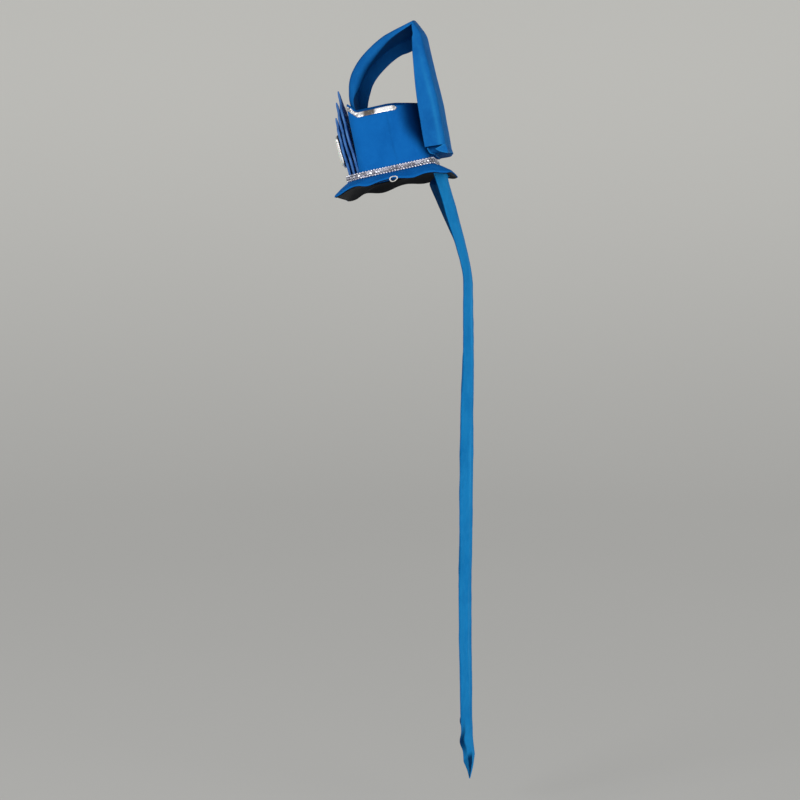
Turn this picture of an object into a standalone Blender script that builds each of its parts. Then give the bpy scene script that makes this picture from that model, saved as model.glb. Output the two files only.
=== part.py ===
# Stage hat of stiffened blue cloth: a low crown with a closed top, a tall loop standing on it,
# three cloud-shaped plates with an ornament at the front, a rhinestone braid, a flared brim and
# two long streamers. Lengths are in metres. The hat has its own frame, with x to the wearer's
# left, y to the back and z up from the middle of the rim. That frame leans forward in the world,
# as the hat stands on a head, and the streamers hang plumb from it.
import math

import bmesh
import bpy
from mathutils import Matrix, Vector

MM = 0.001
CLEARANCE = 0.3 * MM
HAT_LEAN = math.radians(12)

# The crown: a wall on a plan with square sides, closed by a panel just below its rim.
CROWN_HALF_WIDTH = 72.3 * MM
CROWN_FRONT = -43.2 * MM
CROWN_BACK = 57.3 * MM
CROWN_TOP_INSET = 1.0 * MM
CROWN_TOP_FRONT_INSET = 1.8 * MM
CROWN_HEIGHT = 91 * MM
CROWN_WALL = 2.5 * MM
CROWN_FRONT_RADIUS = 12 * MM
CROWN_BACK_RADIUS = 10 * MM
CROWN_TOP_BACK_RADIUS = 31 * MM
FRONT_RISE = 12 * MM
FRONT_RISE_FROM = -27 * MM
BACK_DIP = 6 * MM
BACK_DIP_FROM = 10 * MM
PANEL_BELOW_RIM = 3.5 * MM
PANEL_THICKNESS = 2.0 * MM
PANEL_DOME = 1.5 * MM

# The silver strip follows the crown's rim a little below it.
STRIP_BELOW_RIM = 3.7 * MM
STRIP_WIDTH = 6 * MM
STRIP_THICKNESS = 0.8 * MM

# The loop: one stiff channel, open to the inside of the loop, in a sheet of this thickness.
LOOP_SHEET = 2.0 * MM
LOOP_CORNER = 4.5 * MM

# The plates stand one behind another on the brim's collar and lean forward together.
PLATE_THICKNESS = 3.4 * MM
PLATE_PITCH = 6.4 * MM
PLATE_LEAN = math.radians(3.6)
PLATE_FOOT_HEIGHT = 8 * MM
FRONT_PLATE_FACE = -60 * MM
PLATE_SIZES = (
    # name, half width, height
    ("plate_front", 30 * MM, 93.5 * MM),
    ("plate_middle", 38 * MM, 114 * MM),
    ("plate_back", 44 * MM, 128.5 * MM),
)

# The ornament on the front plate.
PLAQUE_FOOT = 23.5 * MM
PLAQUE_HEIGHT = 46 * MM
PLAQUE_WIDTH = 34 * MM
PLAQUE_CORNER = 9 * MM
BACKING_THICKNESS = 2.0 * MM
BEZEL_DEPTH = 2.2 * MM
BEZEL_WALL = 1.6 * MM
STONE_DOME = 3.2 * MM

# The braid stands on the brim's collar, round the crown and across the plates' feet.
BRAID_INSIDE = 0.6 * MM
BRAID_FRONT = -61.2 * MM
BRAID_FRONT_RADIUS = 30 * MM
BRAID_HEIGHT = 8.8 * MM
BRAID_BAND = 1.2 * MM
BRAID_STONE_RISE = 1.2 * MM
BRAID_STONES = 126

# The brim: a flat collar under crown and braid, then a flared skirt with a wavy hem.
COLLAR_THICKNESS = 1.5 * MM
COLLAR_OPENING_INSET = 2.2 * MM
SKIRT_REACH = 20 * MM
HEM_DROP = 10.2 * MM
HEM_CORNER_DROP = 5.2 * MM
HEM_WAVE = 2.4 * MM
HEM_WAVE_LENGTH = 67 * MM
HEM_WAVE_CREST = 3 * MM
HEM_CORNER_RADIUS = 12 * MM
SKIRT_THICKNESS = 1.8 * MM
LINING_THICKNESS = 1.2 * MM
LINING_GAP = 0.7 * MM
LINING_REACH = 0.94

# The streamers, in world coordinates.
STREAMER_SHEET = 1.2 * MM
STREAMER_HALF_WIDTH = 22.5 * MM
STREAMER_POINT = 29 * MM
STREAMER_CUP = 1.5 * MM
RIGHT_STREAMER_FORWARD = 4 * MM
STREAMER_SETTLED = 120 * MM

TIE_LOOP_RADIUS = 4.2 * MM
TIE_LOOP_THREAD = 0.7 * MM
TIE_LOOP_AT = 3 * MM

# Steps along a plan's runs, each counted from the middle of the back to the middle of the front.
BACK_STEPS = 4
CORNER_STEPS = 6
SIDE_STEPS = 10
FRONT_STEPS = 6
SIDE_START = BACK_STEPS + CORNER_STEPS


def clear_scene():
    for old in list(bpy.data.objects):
        bpy.data.objects.remove(old, do_unlink=True)


def make_material(name, colour, roughness, metallic=0.0):
    made = bpy.data.materials.new(name)
    made.use_nodes = True
    shader = made.node_tree.nodes["Principled BSDF"]
    shader.inputs["Base Color"].default_value = (*colour, 1.0)
    shader.inputs["Roughness"].default_value = roughness
    shader.inputs["Metallic"].default_value = metallic
    return made


def smooth_step(value):
    held = min(max(value, 0.0), 1.0)
    return held * held * (3 - 2 * held)


def mix(first, second, share):
    return first + (second - first) * share


def add_object(name, mesh_builder, material, parent=None):
    bmesh.ops.recalc_face_normals(mesh_builder, faces=mesh_builder.faces[:])
    mesh = bpy.data.meshes.new(name)
    mesh_builder.to_mesh(mesh)
    mesh_builder.free()
    mesh.shade_smooth()
    mesh.set_sharp_from_angle(angle=math.radians(35))
    mesh.materials.append(material)
    made = bpy.data.objects.new(name, mesh)
    bpy.context.scene.collection.objects.link(made)
    made.parent = parent
    return made


def loft(sections, joined=False, poke=False, quads=False):
    """One closed body through sections of equal count, each a closed loop of points."""
    builder = bmesh.new()
    rows = [[builder.verts.new(point) for point in section] for section in sections]
    pairs = list(zip(rows, rows[1:]))
    if joined:
        pairs.append((rows[-1], rows[0]))
    for first, second in pairs:
        for index in range(len(first)):
            after = (index + 1) % len(first)
            builder.faces.new((first[index], first[after], second[after], second[index]))
    if not joined:
        ends = [builder.faces.new(rows[0]), builder.faces.new(rows[-1])]
        if poke:
            bmesh.ops.poke(builder, faces=ends)
    if not quads:
        sides = [face for face in builder.faces if len(face.verts) == 4]
        bmesh.ops.triangulate(builder, faces=sides, quad_method="SHORT_EDGE")
    return builder


def half_plan(half_width, front, back, front_radius, back_radius):
    """Points of the wearer's left half of a plan, from the middle of the back to the front."""
    points = []
    for step in range(BACK_STEPS):
        points.append(((half_width - back_radius) * step / BACK_STEPS, back))
    for step in range(CORNER_STEPS):
        turn = math.radians(90) * step / CORNER_STEPS
        points.append((
            half_width - back_radius + back_radius * math.sin(turn),
            back - back_radius + back_radius * math.cos(turn),
        ))
    for step in range(SIDE_STEPS):
        points.append((half_width, mix(back - back_radius, front + front_radius, step / SIDE_STEPS)))
    for step in range(CORNER_STEPS):
        turn = math.radians(90) * step / CORNER_STEPS
        points.append((
            half_width - front_radius + front_radius * math.cos(turn),
            front + front_radius - front_radius * math.sin(turn),
        ))
    for step in range(FRONT_STEPS + 1):
        points.append(((half_width - front_radius) * (1 - step / FRONT_STEPS), front))
    return points


def whole(half):
    """The half's points and their mirror, as one closed ring."""
    return list(half) + [(-point[0], *point[1:]) for point in reversed(half[1:-1])]


def back_dip(y):
    return BACK_DIP * smooth_step((y - BACK_DIP_FROM) / (CROWN_BACK - BACK_DIP_FROM))


def rim_height(y):
    front = CROWN_FRONT + CROWN_TOP_FRONT_INSET
    rise = smooth_step((FRONT_RISE_FROM - y) / (FRONT_RISE_FROM - front))
    return CROWN_HEIGHT + FRONT_RISE * rise - back_dip(y)


def panel_height(y):
    return CROWN_HEIGHT - PANEL_BELOW_RIM - back_dip(y)


def crown_half(inset, height_of):
    """The left half of a level on the crown's wall, where the plan changes with the height."""
    base = half_plan(
        CROWN_HALF_WIDTH - inset,
        CROWN_FRONT + inset,
        CROWN_BACK - inset,
        CROWN_FRONT_RADIUS - inset,
        CROWN_BACK_RADIUS - inset,
    )
    top = half_plan(
        CROWN_HALF_WIDTH - CROWN_TOP_INSET - inset,
        CROWN_FRONT + CROWN_TOP_FRONT_INSET + inset,
        CROWN_BACK - CROWN_TOP_INSET - inset,
        CROWN_FRONT_RADIUS - inset,
        CROWN_TOP_BACK_RADIUS - inset,
    )
    points = []
    for low, high in zip(base, top):
        height = height_of(high[1])
        share = height / rim_height(high[1])
        points.append((mix(low[0], high[0], share), mix(low[1], high[1], share), height))
    return points


def crown_ring(inset, height_of):
    return whole(crown_half(inset, height_of))


def panel_ring(scale, lower):
    edge = crown_ring(CROWN_WALL, lambda y: panel_height(y) - lower)
    middle_y = (CROWN_FRONT + CROWN_BACK) / 2
    rise = PANEL_DOME * smooth_step((1 - scale) * 2)
    return [(x * scale, middle_y + (y - middle_y) * scale, z + rise) for x, y, z in edge]


def build_crown(material, parent):
    inner = CROWN_WALL
    edge = 0.7 * MM
    sections = [
        panel_ring(0.5, 0),
        panel_ring(0.8, 0),
        crown_ring(inner, panel_height),
        crown_ring(inner, lambda y: rim_height(y) - edge),
        crown_ring(inner - edge, rim_height),
        crown_ring(edge, rim_height),
        crown_ring(0, lambda y: rim_height(y) - edge),
        crown_ring(0, lambda y: rim_height(y) * 0.66),
        crown_ring(0, lambda y: rim_height(y) * 0.33),
        crown_ring(0, lambda y: CLEARANCE),
        crown_ring(inner, lambda y: CLEARANCE),
        crown_ring(inner, lambda y: rim_height(y) * 0.45),
        crown_ring(inner, lambda y: panel_height(y) - PANEL_THICKNESS),
        panel_ring(0.8, PANEL_THICKNESS),
        panel_ring(0.5, PANEL_THICKNESS),
    ]
    return add_object("crown", loft(sections, poke=True), material, parent)


def build_rim_trim(material, parent):
    def path(outset, below):
        half = crown_half(-outset, lambda y: rim_height(y) - below)[SIDE_START:]
        return half + [(-x, y, z) for x, y, z in reversed(half[:-1])]

    inside = CLEARANCE
    outside = CLEARANCE + STRIP_THICKNESS
    corners = (
        path(inside, STRIP_BELOW_RIM),
        path(outside, STRIP_BELOW_RIM),
        path(outside, STRIP_BELOW_RIM + STRIP_WIDTH),
        path(inside, STRIP_BELOW_RIM + STRIP_WIDTH),
    )
    return add_object("rim_trim", loft(list(zip(*corners))), material, parent)


# Stations of the loop's outer face, in millimetres of the hat's frame. The flanges are the turned-in
# edges; the swell is how far the middle of the band stands out beyond its edges.
ARCH_STATIONS = (
    # y, z, half width, left flange, right flange, swell
    (-35.0, 88.6, 63.5, 6.0, 11.0, 1.0),
    (-35.9, 102.6, 64.0, 6.0, 12.0, 1.2),
    (-33.7, 119.8, 65.0, 12.0, 15.0, 1.5),
    (-28.4, 136.0, 65.5, 16.0, 17.0, 1.5),
    (-18.5, 150.2, 66.0, 16.3, 17.0, 1.5),
    (-7.2, 160.0, 66.3, 15.2, 17.0, 1.5),
    (4.6, 168.3, 66.6, 13.8, 17.0, 1.8),
    (15.9, 175.0, 67.0, 12.2, 17.0, 2.0),
    (28.1, 180.6, 67.3, 9.8, 17.0, 2.5),
    (42.5, 184.9, 67.6, 7.2, 17.0, 3.0),
    (58.0, 188.5, 67.9, 4.8, 17.0, 3.8),
    (69.1, 191.3, 68.0, 3.0, 17.0, 4.5),
)
BOARD_STATIONS = (
    # y, z, half width, left flange, right flange, swell
    (69.1, 191.3, 68.0, 3.0, 17.0, 4.5),
    (73.7, 182.6, 68.7, 8.0, 17.0, 4.5),
    (77.2, 173.5, 69.2, 12.0, 17.0, 4.5),
    (78.0, 148.0, 70.0, 17.0, 18.0, 4.0),
    (79.3, 126.5, 70.6, 20.0, 20.5, 3.5),
    (80.2, 103.1, 71.4, 23.0, 23.0, 3.5),
    (80.9, 79.8, 72.2, 26.0, 26.0, 3.5),
    (80.4, 50.0, 73.2, 27.5, 27.5, 3.5),
    (79.8, 27.0, 74.2, 26.9, 26.9, 3.5),
    (79.5, 18.5, 74.4, 26.6, 26.6, 3.0),
    (78.3, 14.0, 74.6, 4.7, 4.7, 1.5),
    (74.0, 12.6, 74.4, 4.7, 4.7, 0.6),
    (60.0, 13.2, 74.0, 4.7, 4.7, 0.0),
)
# The way the flanges point at the last of these stations, in degrees up from straight forward.
BOARD_END_FACING = (0, 0, 45, 90, 90)
ARCH_BETWEEN = 2
# Over this distance from the peak, in millimetres, the sections turn to meet on the mitre.
MITRE_REACH = 34
WEB_STEPS = 4
BEND_STEPS = 3


def curve_through(rows, between):
    """The rows and points between them on a smooth curve, column by column."""
    found = []
    for index in range(len(rows) - 1):
        before = rows[max(index - 1, 0)]
        start = rows[index]
        end = rows[index + 1]
        after = rows[min(index + 2, len(rows) - 1)]
        for step in range(between):
            t = step / between
            found.append(tuple(
                0.5 * (2 * b + (c - a) * t + (2 * a - 5 * b + 4 * c - d) * t * t
                       + (3 * b - a - 3 * c + d) * t * t * t)
                for a, b, c, d in zip(before, start, end, after)
            ))
    found.append(tuple(rows[-1]))
    return found


def band_profile(half_width, left, right, swell):
    """The channel's section as (across, inward) points: the outer face, then the inner one back."""
    corner = LOOP_CORNER / MM
    sheet = LOOP_SHEET / MM
    reach = half_width - corner

    def face(inset):
        radius = corner - inset
        points = [(half_width - inset, max(left, corner + 0.2))]
        for step in range(BEND_STEPS + 1):
            turn = math.radians(90) * step / BEND_STEPS
            points.append((reach + radius * math.cos(turn), corner - radius * math.sin(turn)))
        for step in range(1, WEB_STEPS):
            across = reach * (1 - 2 * step / WEB_STEPS)
            points.append((across, inset - swell * (1 - (across / reach) ** 2)))
        for step in range(BEND_STEPS + 1):
            turn = math.radians(90) * (1 - step / BEND_STEPS)
            points.append((-reach - radius * math.cos(turn), corner - radius * math.sin(turn)))
        points.append((inset - half_width, max(right, corner + 0.2)))
        return points

    return face(0) + list(reversed(face(sheet)))


def build_loop_band(material, parent):
    arch = curve_through(ARCH_STATIONS, ARCH_BETWEEN)
    board = curve_through(BOARD_STATIONS[:-4], ARCH_BETWEEN) + list(BOARD_STATIONS[-4:])
    stations = arch + board[1:]
    peak = len(arch) - 1
    first_facing = len(stations) - len(BOARD_END_FACING)
    courses = []
    for index, station in enumerate(stations):
        here = Vector(station[:2])
        ahead = Vector(stations[min(index + 1, len(stations) - 1)][:2])
        behind = Vector(stations[max(index - 1, 0)][:2])
        into = (here - behind).normalized() if index else (ahead - here).normalized()
        out_of = (ahead - here).normalized() if index < len(stations) - 1 else into
        along = (into + out_of).normalized()
        courses.append((here, Vector((along.y, -along.x)), into))
    corner, mitre, into = courses[peak]
    mitre_stretch = 1 / mitre.dot(Vector((into.y, -into.x)))
    sections = []
    for index, (y, z, half_width, left, right, swell) in enumerate(stations):
        here, inward, into = courses[index]
        nearness = max(0.0, 1 - (here - corner).length / MITRE_REACH)
        inward = inward.lerp(mitre, nearness).normalized()
        stretch = mix(1.0, mitre_stretch, nearness)
        if index >= first_facing:
            facing = math.radians(BOARD_END_FACING[index - first_facing])
            inward = Vector((-math.cos(facing), math.sin(facing)))
        section = []
        for across, depth in band_profile(half_width, left, right, swell):
            spot = here + inward * depth * stretch
            section.append((across * MM, spot.x * MM, spot.y * MM))
        sections.append(section)
    return add_object("loop_band", loft(sections), material, parent)


# One side of a cloud-shaped plate, from its foot to its point.
CLOUD_ROWS = (
    # share of half width, share of height, swell of the arc that ends here as a share of its chord
    (0.86, 0.00, 0.00),
    (0.80, 0.30, -0.03),
    (0.74, 0.62, 0.30),
    (0.40, 0.84, 0.26),
    (0.00, 1.00, -0.12),
)
CLOUD_ARC_STEPS = 5


def cloud_side(half_width, height):
    foot_share = CLOUD_ROWS[0][0]
    points = [(half_width * foot_share, 0.0), (half_width * foot_share, PLATE_FOOT_HEIGHT)]
    start = Vector(points[-1])
    for across, up, swell in CLOUD_ROWS[1:]:
        end = Vector((half_width * across, height * up))
        chord = end - start
        outward = Vector((chord.y, -chord.x)) * swell
        for step in range(1, CLOUD_ARC_STEPS + 1):
            t = step / CLOUD_ARC_STEPS
            spot = start + chord * t + outward * 4 * t * (1 - t)
            points.append((spot.x, spot.y))
        start = end
    return points


def build_plate(name, half_width, height, order, material, parent):
    """A flat plate with a doubled foot that fills the space to the plate behind it."""
    side = cloud_side(half_width, height)
    builder = bmesh.new()
    right = [builder.verts.new((-x, 0, z)) for x, z in side[:-1]]
    tip = builder.verts.new((0, 0, side[-1][1]))
    left = [builder.verts.new((x, 0, z)) for x, z in side[:-1]]
    foot = builder.faces.new((left[0], left[1], right[1], right[0]))
    body = builder.faces.new(left[1:] + [tip] + list(reversed(right[1:])))
    grown = bmesh.ops.extrude_face_region(builder, geom=[foot, body])["geom"]
    moved = [item for item in grown if isinstance(item, bmesh.types.BMVert)]
    bmesh.ops.translate(builder, verts=moved, vec=(0, PLATE_THICKNESS, 0))
    if order < len(PLATE_SIZES) - 1:
        back_foot = [
            item for item in grown
            if isinstance(item, bmesh.types.BMFace) and item.calc_center_median().z < PLATE_FOOT_HEIGHT
        ]
        thicker = bmesh.ops.extrude_face_region(builder, geom=back_foot)["geom"]
        moved = [item for item in thicker if isinstance(item, bmesh.types.BMVert)]
        spacer = PLATE_PITCH - PLATE_THICKNESS - CLEARANCE
        bmesh.ops.translate(builder, verts=moved, vec=(0, spacer, 0))
        bmesh.ops.delete(builder, geom=back_foot, context="FACES_ONLY")
    made = add_object(name, builder, material, parent)
    made.location = (0, FRONT_PLATE_FACE + PLATE_PITCH * order, CLEARANCE)
    made.rotation_euler = (PLATE_LEAN, 0, 0)
    return made


def oblong(width, height, corner, forward, steps=5):
    """A rounded upright oblong round the ornament's middle, in the front plate's own frame."""
    middle_z = PLAQUE_FOOT + PLAQUE_HEIGHT / 2
    points = []
    for quarter, (side, up) in enumerate(((1, 1), (-1, 1), (-1, -1), (1, -1))):
        for step in range(steps + 1):
            turn = math.radians(90) * (quarter + step / steps)
            points.append((
                side * (width / 2 - corner) + corner * math.cos(turn),
                -forward,
                middle_z + up * (height / 2 - corner) + corner * math.sin(turn),
            ))
    return points


def on_front_plate(made):
    made.location = (0, FRONT_PLATE_FACE, CLEARANCE)
    made.rotation_euler = (PLATE_LEAN, 0, 0)
    return made


def build_plaque(backing_material, bezel_material, stone_material, parent):
    back = CLEARANCE
    face = back + BACKING_THICKNESS
    soft = 0.5 * MM
    backing = loft([
        oblong(PLAQUE_WIDTH, PLAQUE_HEIGHT, PLAQUE_CORNER, back),
        oblong(PLAQUE_WIDTH, PLAQUE_HEIGHT, PLAQUE_CORNER, face - soft),
        oblong(PLAQUE_WIDTH - 2 * soft, PLAQUE_HEIGHT - 2 * soft, PLAQUE_CORNER - soft, face),
    ])
    on_front_plate(add_object("plaque_backing", backing, backing_material, parent))

    seat = face + CLEARANCE
    width = PLAQUE_WIDTH - 2 * MM
    height = PLAQUE_HEIGHT - 2 * MM
    corner = PLAQUE_CORNER - MM
    wall = BEZEL_WALL

    def rail(inset, forward):
        return oblong(width - 2 * inset, height - 2 * inset, corner - inset, forward)

    bezel = loft([
        rail(0, seat),
        rail(0, seat + BEZEL_DEPTH * 0.6),
        rail(wall * 0.4, seat + BEZEL_DEPTH),
        rail(wall, seat + BEZEL_DEPTH * 0.8),
        rail(wall, seat),
    ], joined=True)
    on_front_plate(add_object("plaque_bezel", bezel, bezel_material, parent))

    inside = wall + CLEARANCE
    dome = ((0.0, 0.0), (0.0, 0.45), (0.9, 0.70), (2.6, 0.86), (5.4, 0.96))
    levels = [rail(inside, seat)]
    for inset, share in dome[1:]:
        levels.append(rail(inside + inset * MM, seat + (BEZEL_DEPTH + STONE_DOME) * share))
    stone = loft(levels)
    on_front_plate(add_object("plaque_stone", stone, stone_material, parent))


def even_ring(half, count):
    """Points at equal distances round the closed ring of a half plan, with their outward ways."""
    ring = [Vector(point) for point in whole(half)]
    ring.append(ring[0])
    lengths = [(b - a).length for a, b in zip(ring, ring[1:])]
    pitch = sum(lengths) / count
    found = []
    travelled = 0.0
    for start, end, length in zip(ring, ring[1:], lengths):
        while len(found) < count and len(found) * pitch < travelled + length:
            share = (len(found) * pitch - travelled) / length
            found.append(start.lerp(end, share))
        travelled += length
    outward = []
    for index, point in enumerate(found):
        along = (found[(index + 1) % count] - found[index - 1]).normalized()
        outward.append(Vector((-along.y, along.x)))
    return list(zip(found, outward))


def braid_half():
    return half_plan(
        CROWN_HALF_WIDTH + BRAID_INSIDE,
        BRAID_FRONT,
        CROWN_BACK + BRAID_INSIDE,
        BRAID_FRONT_RADIUS,
        CROWN_BACK_RADIUS + BRAID_INSIDE,
    )


def build_base_trim(material, parent):
    """A band with a row of stones, each raised from its own square of the band's outer face."""
    low = CLEARANCE
    high = CLEARANCE + BRAID_HEIGHT
    levels = [
        (BRAID_BAND, low),
        (BRAID_BAND, mix(low, high, 0.27)),
        (BRAID_BAND, mix(low, high, 0.73)),
        (BRAID_BAND, high),
        (0.0, high),
        (0.0, low),
    ]
    sections = []
    for point, outward in even_ring(braid_half(), BRAID_STONES):
        section = []
        for outset, height in levels:
            spot = point + outward * outset
            section.append((spot.x, spot.y, height))
        sections.append(section)
    builder = loft(sections, joined=True, quads=True)
    bmesh.ops.recalc_face_normals(builder, faces=builder.faces[:])
    middle = mix(low, high, 0.5)
    seats = [
        face for face in builder.faces
        if abs(face.calc_center_median().z - middle) < 0.2 * MM and is_outer(face)
    ]
    bmesh.ops.inset_individual(builder, faces=seats, thickness=0.35 * MM, depth=0)
    bmesh.ops.inset_individual(builder, faces=seats, thickness=0.75 * MM, depth=BRAID_STONE_RISE)
    return add_object("base_trim", builder, material, parent)


def is_outer(face):
    centre = face.calc_center_median()
    middle_y = (CROWN_FRONT + CROWN_BACK) / 2
    return face.normal.dot(Vector((centre.x, centre.y - middle_y, 0))) > 0


def skirt_point(low, high, share, drop):
    """A point on the skirt between the neckline and the hem; the cloth swells a little between."""
    rise = 1.2 * MM * math.sin(math.pi * share)
    return (mix(low[0], high[0], share), mix(low[1], high[1], share), -drop * share + rise)


def neckline_half():
    return half_plan(
        CROWN_HALF_WIDTH + 1.4 * MM,
        BRAID_FRONT - 0.8 * MM,
        CROWN_BACK + 1.4 * MM,
        BRAID_FRONT_RADIUS,
        CROWN_BACK_RADIUS,
    )


def hem_half():
    return half_plan(
        CROWN_HALF_WIDTH + SKIRT_REACH,
        BRAID_FRONT - 18.5 * MM,
        CROWN_BACK + 22.5 * MM,
        HEM_CORNER_RADIUS,
        HEM_CORNER_RADIUS,
    )


def hem_drop(x, y):
    wave = HEM_WAVE * math.cos(2 * math.pi * (y - HEM_WAVE_CREST) / HEM_WAVE_LENGTH)
    across = HEM_WAVE * math.cos(2 * math.pi * x / (HEM_WAVE_LENGTH * 0.9))
    flat_side = smooth_step((abs(x) - 60 * MM) / (30 * MM))
    end = smooth_step((abs(y) - 52 * MM) / (26 * MM))
    return HEM_DROP - wave * flat_side * (1 - end) - across * (1 - flat_side) * 0.6 + HEM_CORNER_DROP * end


def skirt_ring(share, lower):
    neck = whole(neckline_half())
    hem = whole(hem_half())
    points = []
    for low, high in zip(neck, hem):
        x, y, z = skirt_point(low, high, share, hem_drop(*high))
        points.append((x, y, z - lower))
    return points


def collar_ring(height):
    inset = CROWN_WALL - COLLAR_OPENING_INSET
    half = half_plan(
        CROWN_HALF_WIDTH - CROWN_WALL + inset,
        CROWN_FRONT + CROWN_WALL - inset,
        CROWN_BACK - CROWN_WALL + inset,
        CROWN_FRONT_RADIUS - CROWN_WALL + inset,
        CROWN_BACK_RADIUS - CROWN_WALL + inset,
    )
    return [(x, y, height) for x, y in whole(half)]


def build_brim(material, parent):
    sections = [
        collar_ring(0),
        skirt_ring(0, 0),
        skirt_ring(0.33, 0),
        skirt_ring(0.66, 0),
        skirt_ring(1, 0),
        skirt_ring(1, SKIRT_THICKNESS),
        skirt_ring(0.66, SKIRT_THICKNESS),
        skirt_ring(0.33, SKIRT_THICKNESS),
        skirt_ring(0, SKIRT_THICKNESS),
        collar_ring(-COLLAR_THICKNESS),
    ]
    return add_object("brim", loft(sections, joined=True), material, parent)


def build_brim_lining(material, parent):
    top = SKIRT_THICKNESS + LINING_GAP
    under = top + LINING_THICKNESS
    sections = [
        collar_ring(-top),
        skirt_ring(0, top),
        skirt_ring(0.33, top),
        skirt_ring(0.66, top),
        skirt_ring(LINING_REACH, top),
        skirt_ring(LINING_REACH, under),
        skirt_ring(0.66, under),
        skirt_ring(0.33, under),
        skirt_ring(0, under),
        collar_ring(-under),
    ]
    return add_object("brim_lining", loft(sections, joined=True), material, parent)


def build_tie_loop(material, parent):
    """A small thread ring hanging at the hem on the wearer's left."""
    builder = bmesh.new()
    hem_x = CROWN_HALF_WIDTH + SKIRT_REACH
    circle = bmesh.ops.create_circle(
        builder, segments=6, radius=TIE_LOOP_THREAD, matrix=Matrix.Translation((0, TIE_LOOP_RADIUS, 0))
    )["verts"]
    edges = list({edge for vert in circle for edge in vert.link_edges})
    bmesh.ops.spin(
        builder, geom=circle + edges, angle=math.radians(360), steps=14,
        axis=(1, 0, 0), cent=(0, 0, 0), use_merge=True, use_duplicate=False,
    )
    bmesh.ops.remove_doubles(builder, verts=builder.verts[:], dist=0.01 * MM)
    bmesh.ops.rotate(
        builder, verts=builder.verts[:], cent=(0, 0, 0), matrix=Matrix.Rotation(math.radians(8), 3, "Z")
    )
    made = add_object("tie_loop", builder, material, parent)
    hem = -hem_drop(hem_x, TIE_LOOP_AT)
    made.location = (
        hem_x + TIE_LOOP_THREAD + 2 * CLEARANCE, TIE_LOOP_AT, hem - TIE_LOOP_RADIUS + 0.8 * MM
    )
    return made


# The left streamer's course, in millimetres of the world: it leaves the underside of the brim,
# slants back as it would over a wearer's shoulders, and then hangs plumb.
STREAMER_ROWS = (
    # z, y, x, turn of its width away from the wearer's left-right line in degrees, fall to the rear
    (3.7, 64.0, 41.0, 24.0, 0.44),
    (-8.5, 68.0, 41.0, 23.0, 0.3),
    (-35.0, 77.0, 40.5, 20.5, 0.1),
    (-64.0, 84.5, 40.0, 20.0, 0.0),
    (-91.0, 92.0, 39.5, 17.0, 0.0),
    (-120.0, 98.8, 39.0, 15.5, 0.0),
    (-147.0, 101.8, 38.7, 15.5, 0.0),
    (-203.0, 102.4, 38.2, 17.5, 0.0),
    (-259.0, 102.6, 37.8, 19.0, 0.0),
    (-314.0, 101.5, 37.5, 20.5, 0.0),
    (-380.0, 101.0, 37.2, 21.0, 0.0),
    (-446.0, 100.5, 37.0, 21.0, 0.0),
    (-520.0, 100.3, 36.8, 20.0, 0.0),
    (-592.0, 99.4, 36.6, 20.5, 0.0),
    (-665.0, 100.2, 36.5, 19.0, 0.0),
    (-735.0, 100.8, 36.4, 18.0, 0.0),
    (-762.0, 101.8, 36.4, 17.0, 0.0),
    (-777.0, 100.8, 36.4, 20.0, 0.0),
    (-790.0, 103.2, 36.4, 16.0, 0.0),
    (-806.0, 104.8, 36.4, 17.5, 0.0),
    (-820.0, 105.8, 36.4, 17.0, 0.0),
    (-834.0, 106.4, 36.4, 16.0, 0.0),
)
STREAMER_ACROSS = (-1.0, -0.5, 0.0, 0.5, 1.0)


def streamer_sections(mirror, forward):
    course = curve_through(STREAMER_ROWS, 1)
    lowest = course[-1][0] * MM
    sections = []
    for index, (z, y, x, turn, fall) in enumerate(course):
        here = Vector((x, y, z)) * MM
        ahead = Vector((course[min(index + 1, len(course) - 1)][2::-1])) * MM
        behind = Vector((course[max(index - 1, 0)][2::-1])) * MM
        along = (ahead - behind).normalized()
        across = Vector((math.cos(math.radians(turn)), -math.sin(math.radians(turn)), 0))
        face = along.cross(across).normalized()
        if face.y < 0:
            face = -face
        half_width = STREAMER_HALF_WIDTH * min(1.0, (here.z - lowest) / STREAMER_POINT)
        half_width = max(half_width, 0.8 * MM)
        outer = []
        inner = []
        for share in STREAMER_ACROSS:
            cup = STREAMER_CUP * (half_width / STREAMER_HALF_WIDTH) * (1 - share * share)
            spot = here + across * share * half_width + face * cup
            spot.z -= fall * (spot.y - here.y)
            outer.append(spot)
            inner.append(spot - face * STREAMER_SHEET)
        section = outer + list(reversed(inner))
        ahead_by = forward * smooth_step(-here.z / STREAMER_SETTLED)
        sections.append([(mirror * p.x, p.y - ahead_by, p.z) for p in section])
    return sections


def build_streamers(material):
    left = loft(streamer_sections(1, 0))
    add_object("streamer_left", left, material)
    right = loft(streamer_sections(-1, RIGHT_STREAMER_FORWARD))
    add_object("streamer_right", right, material)


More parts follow.
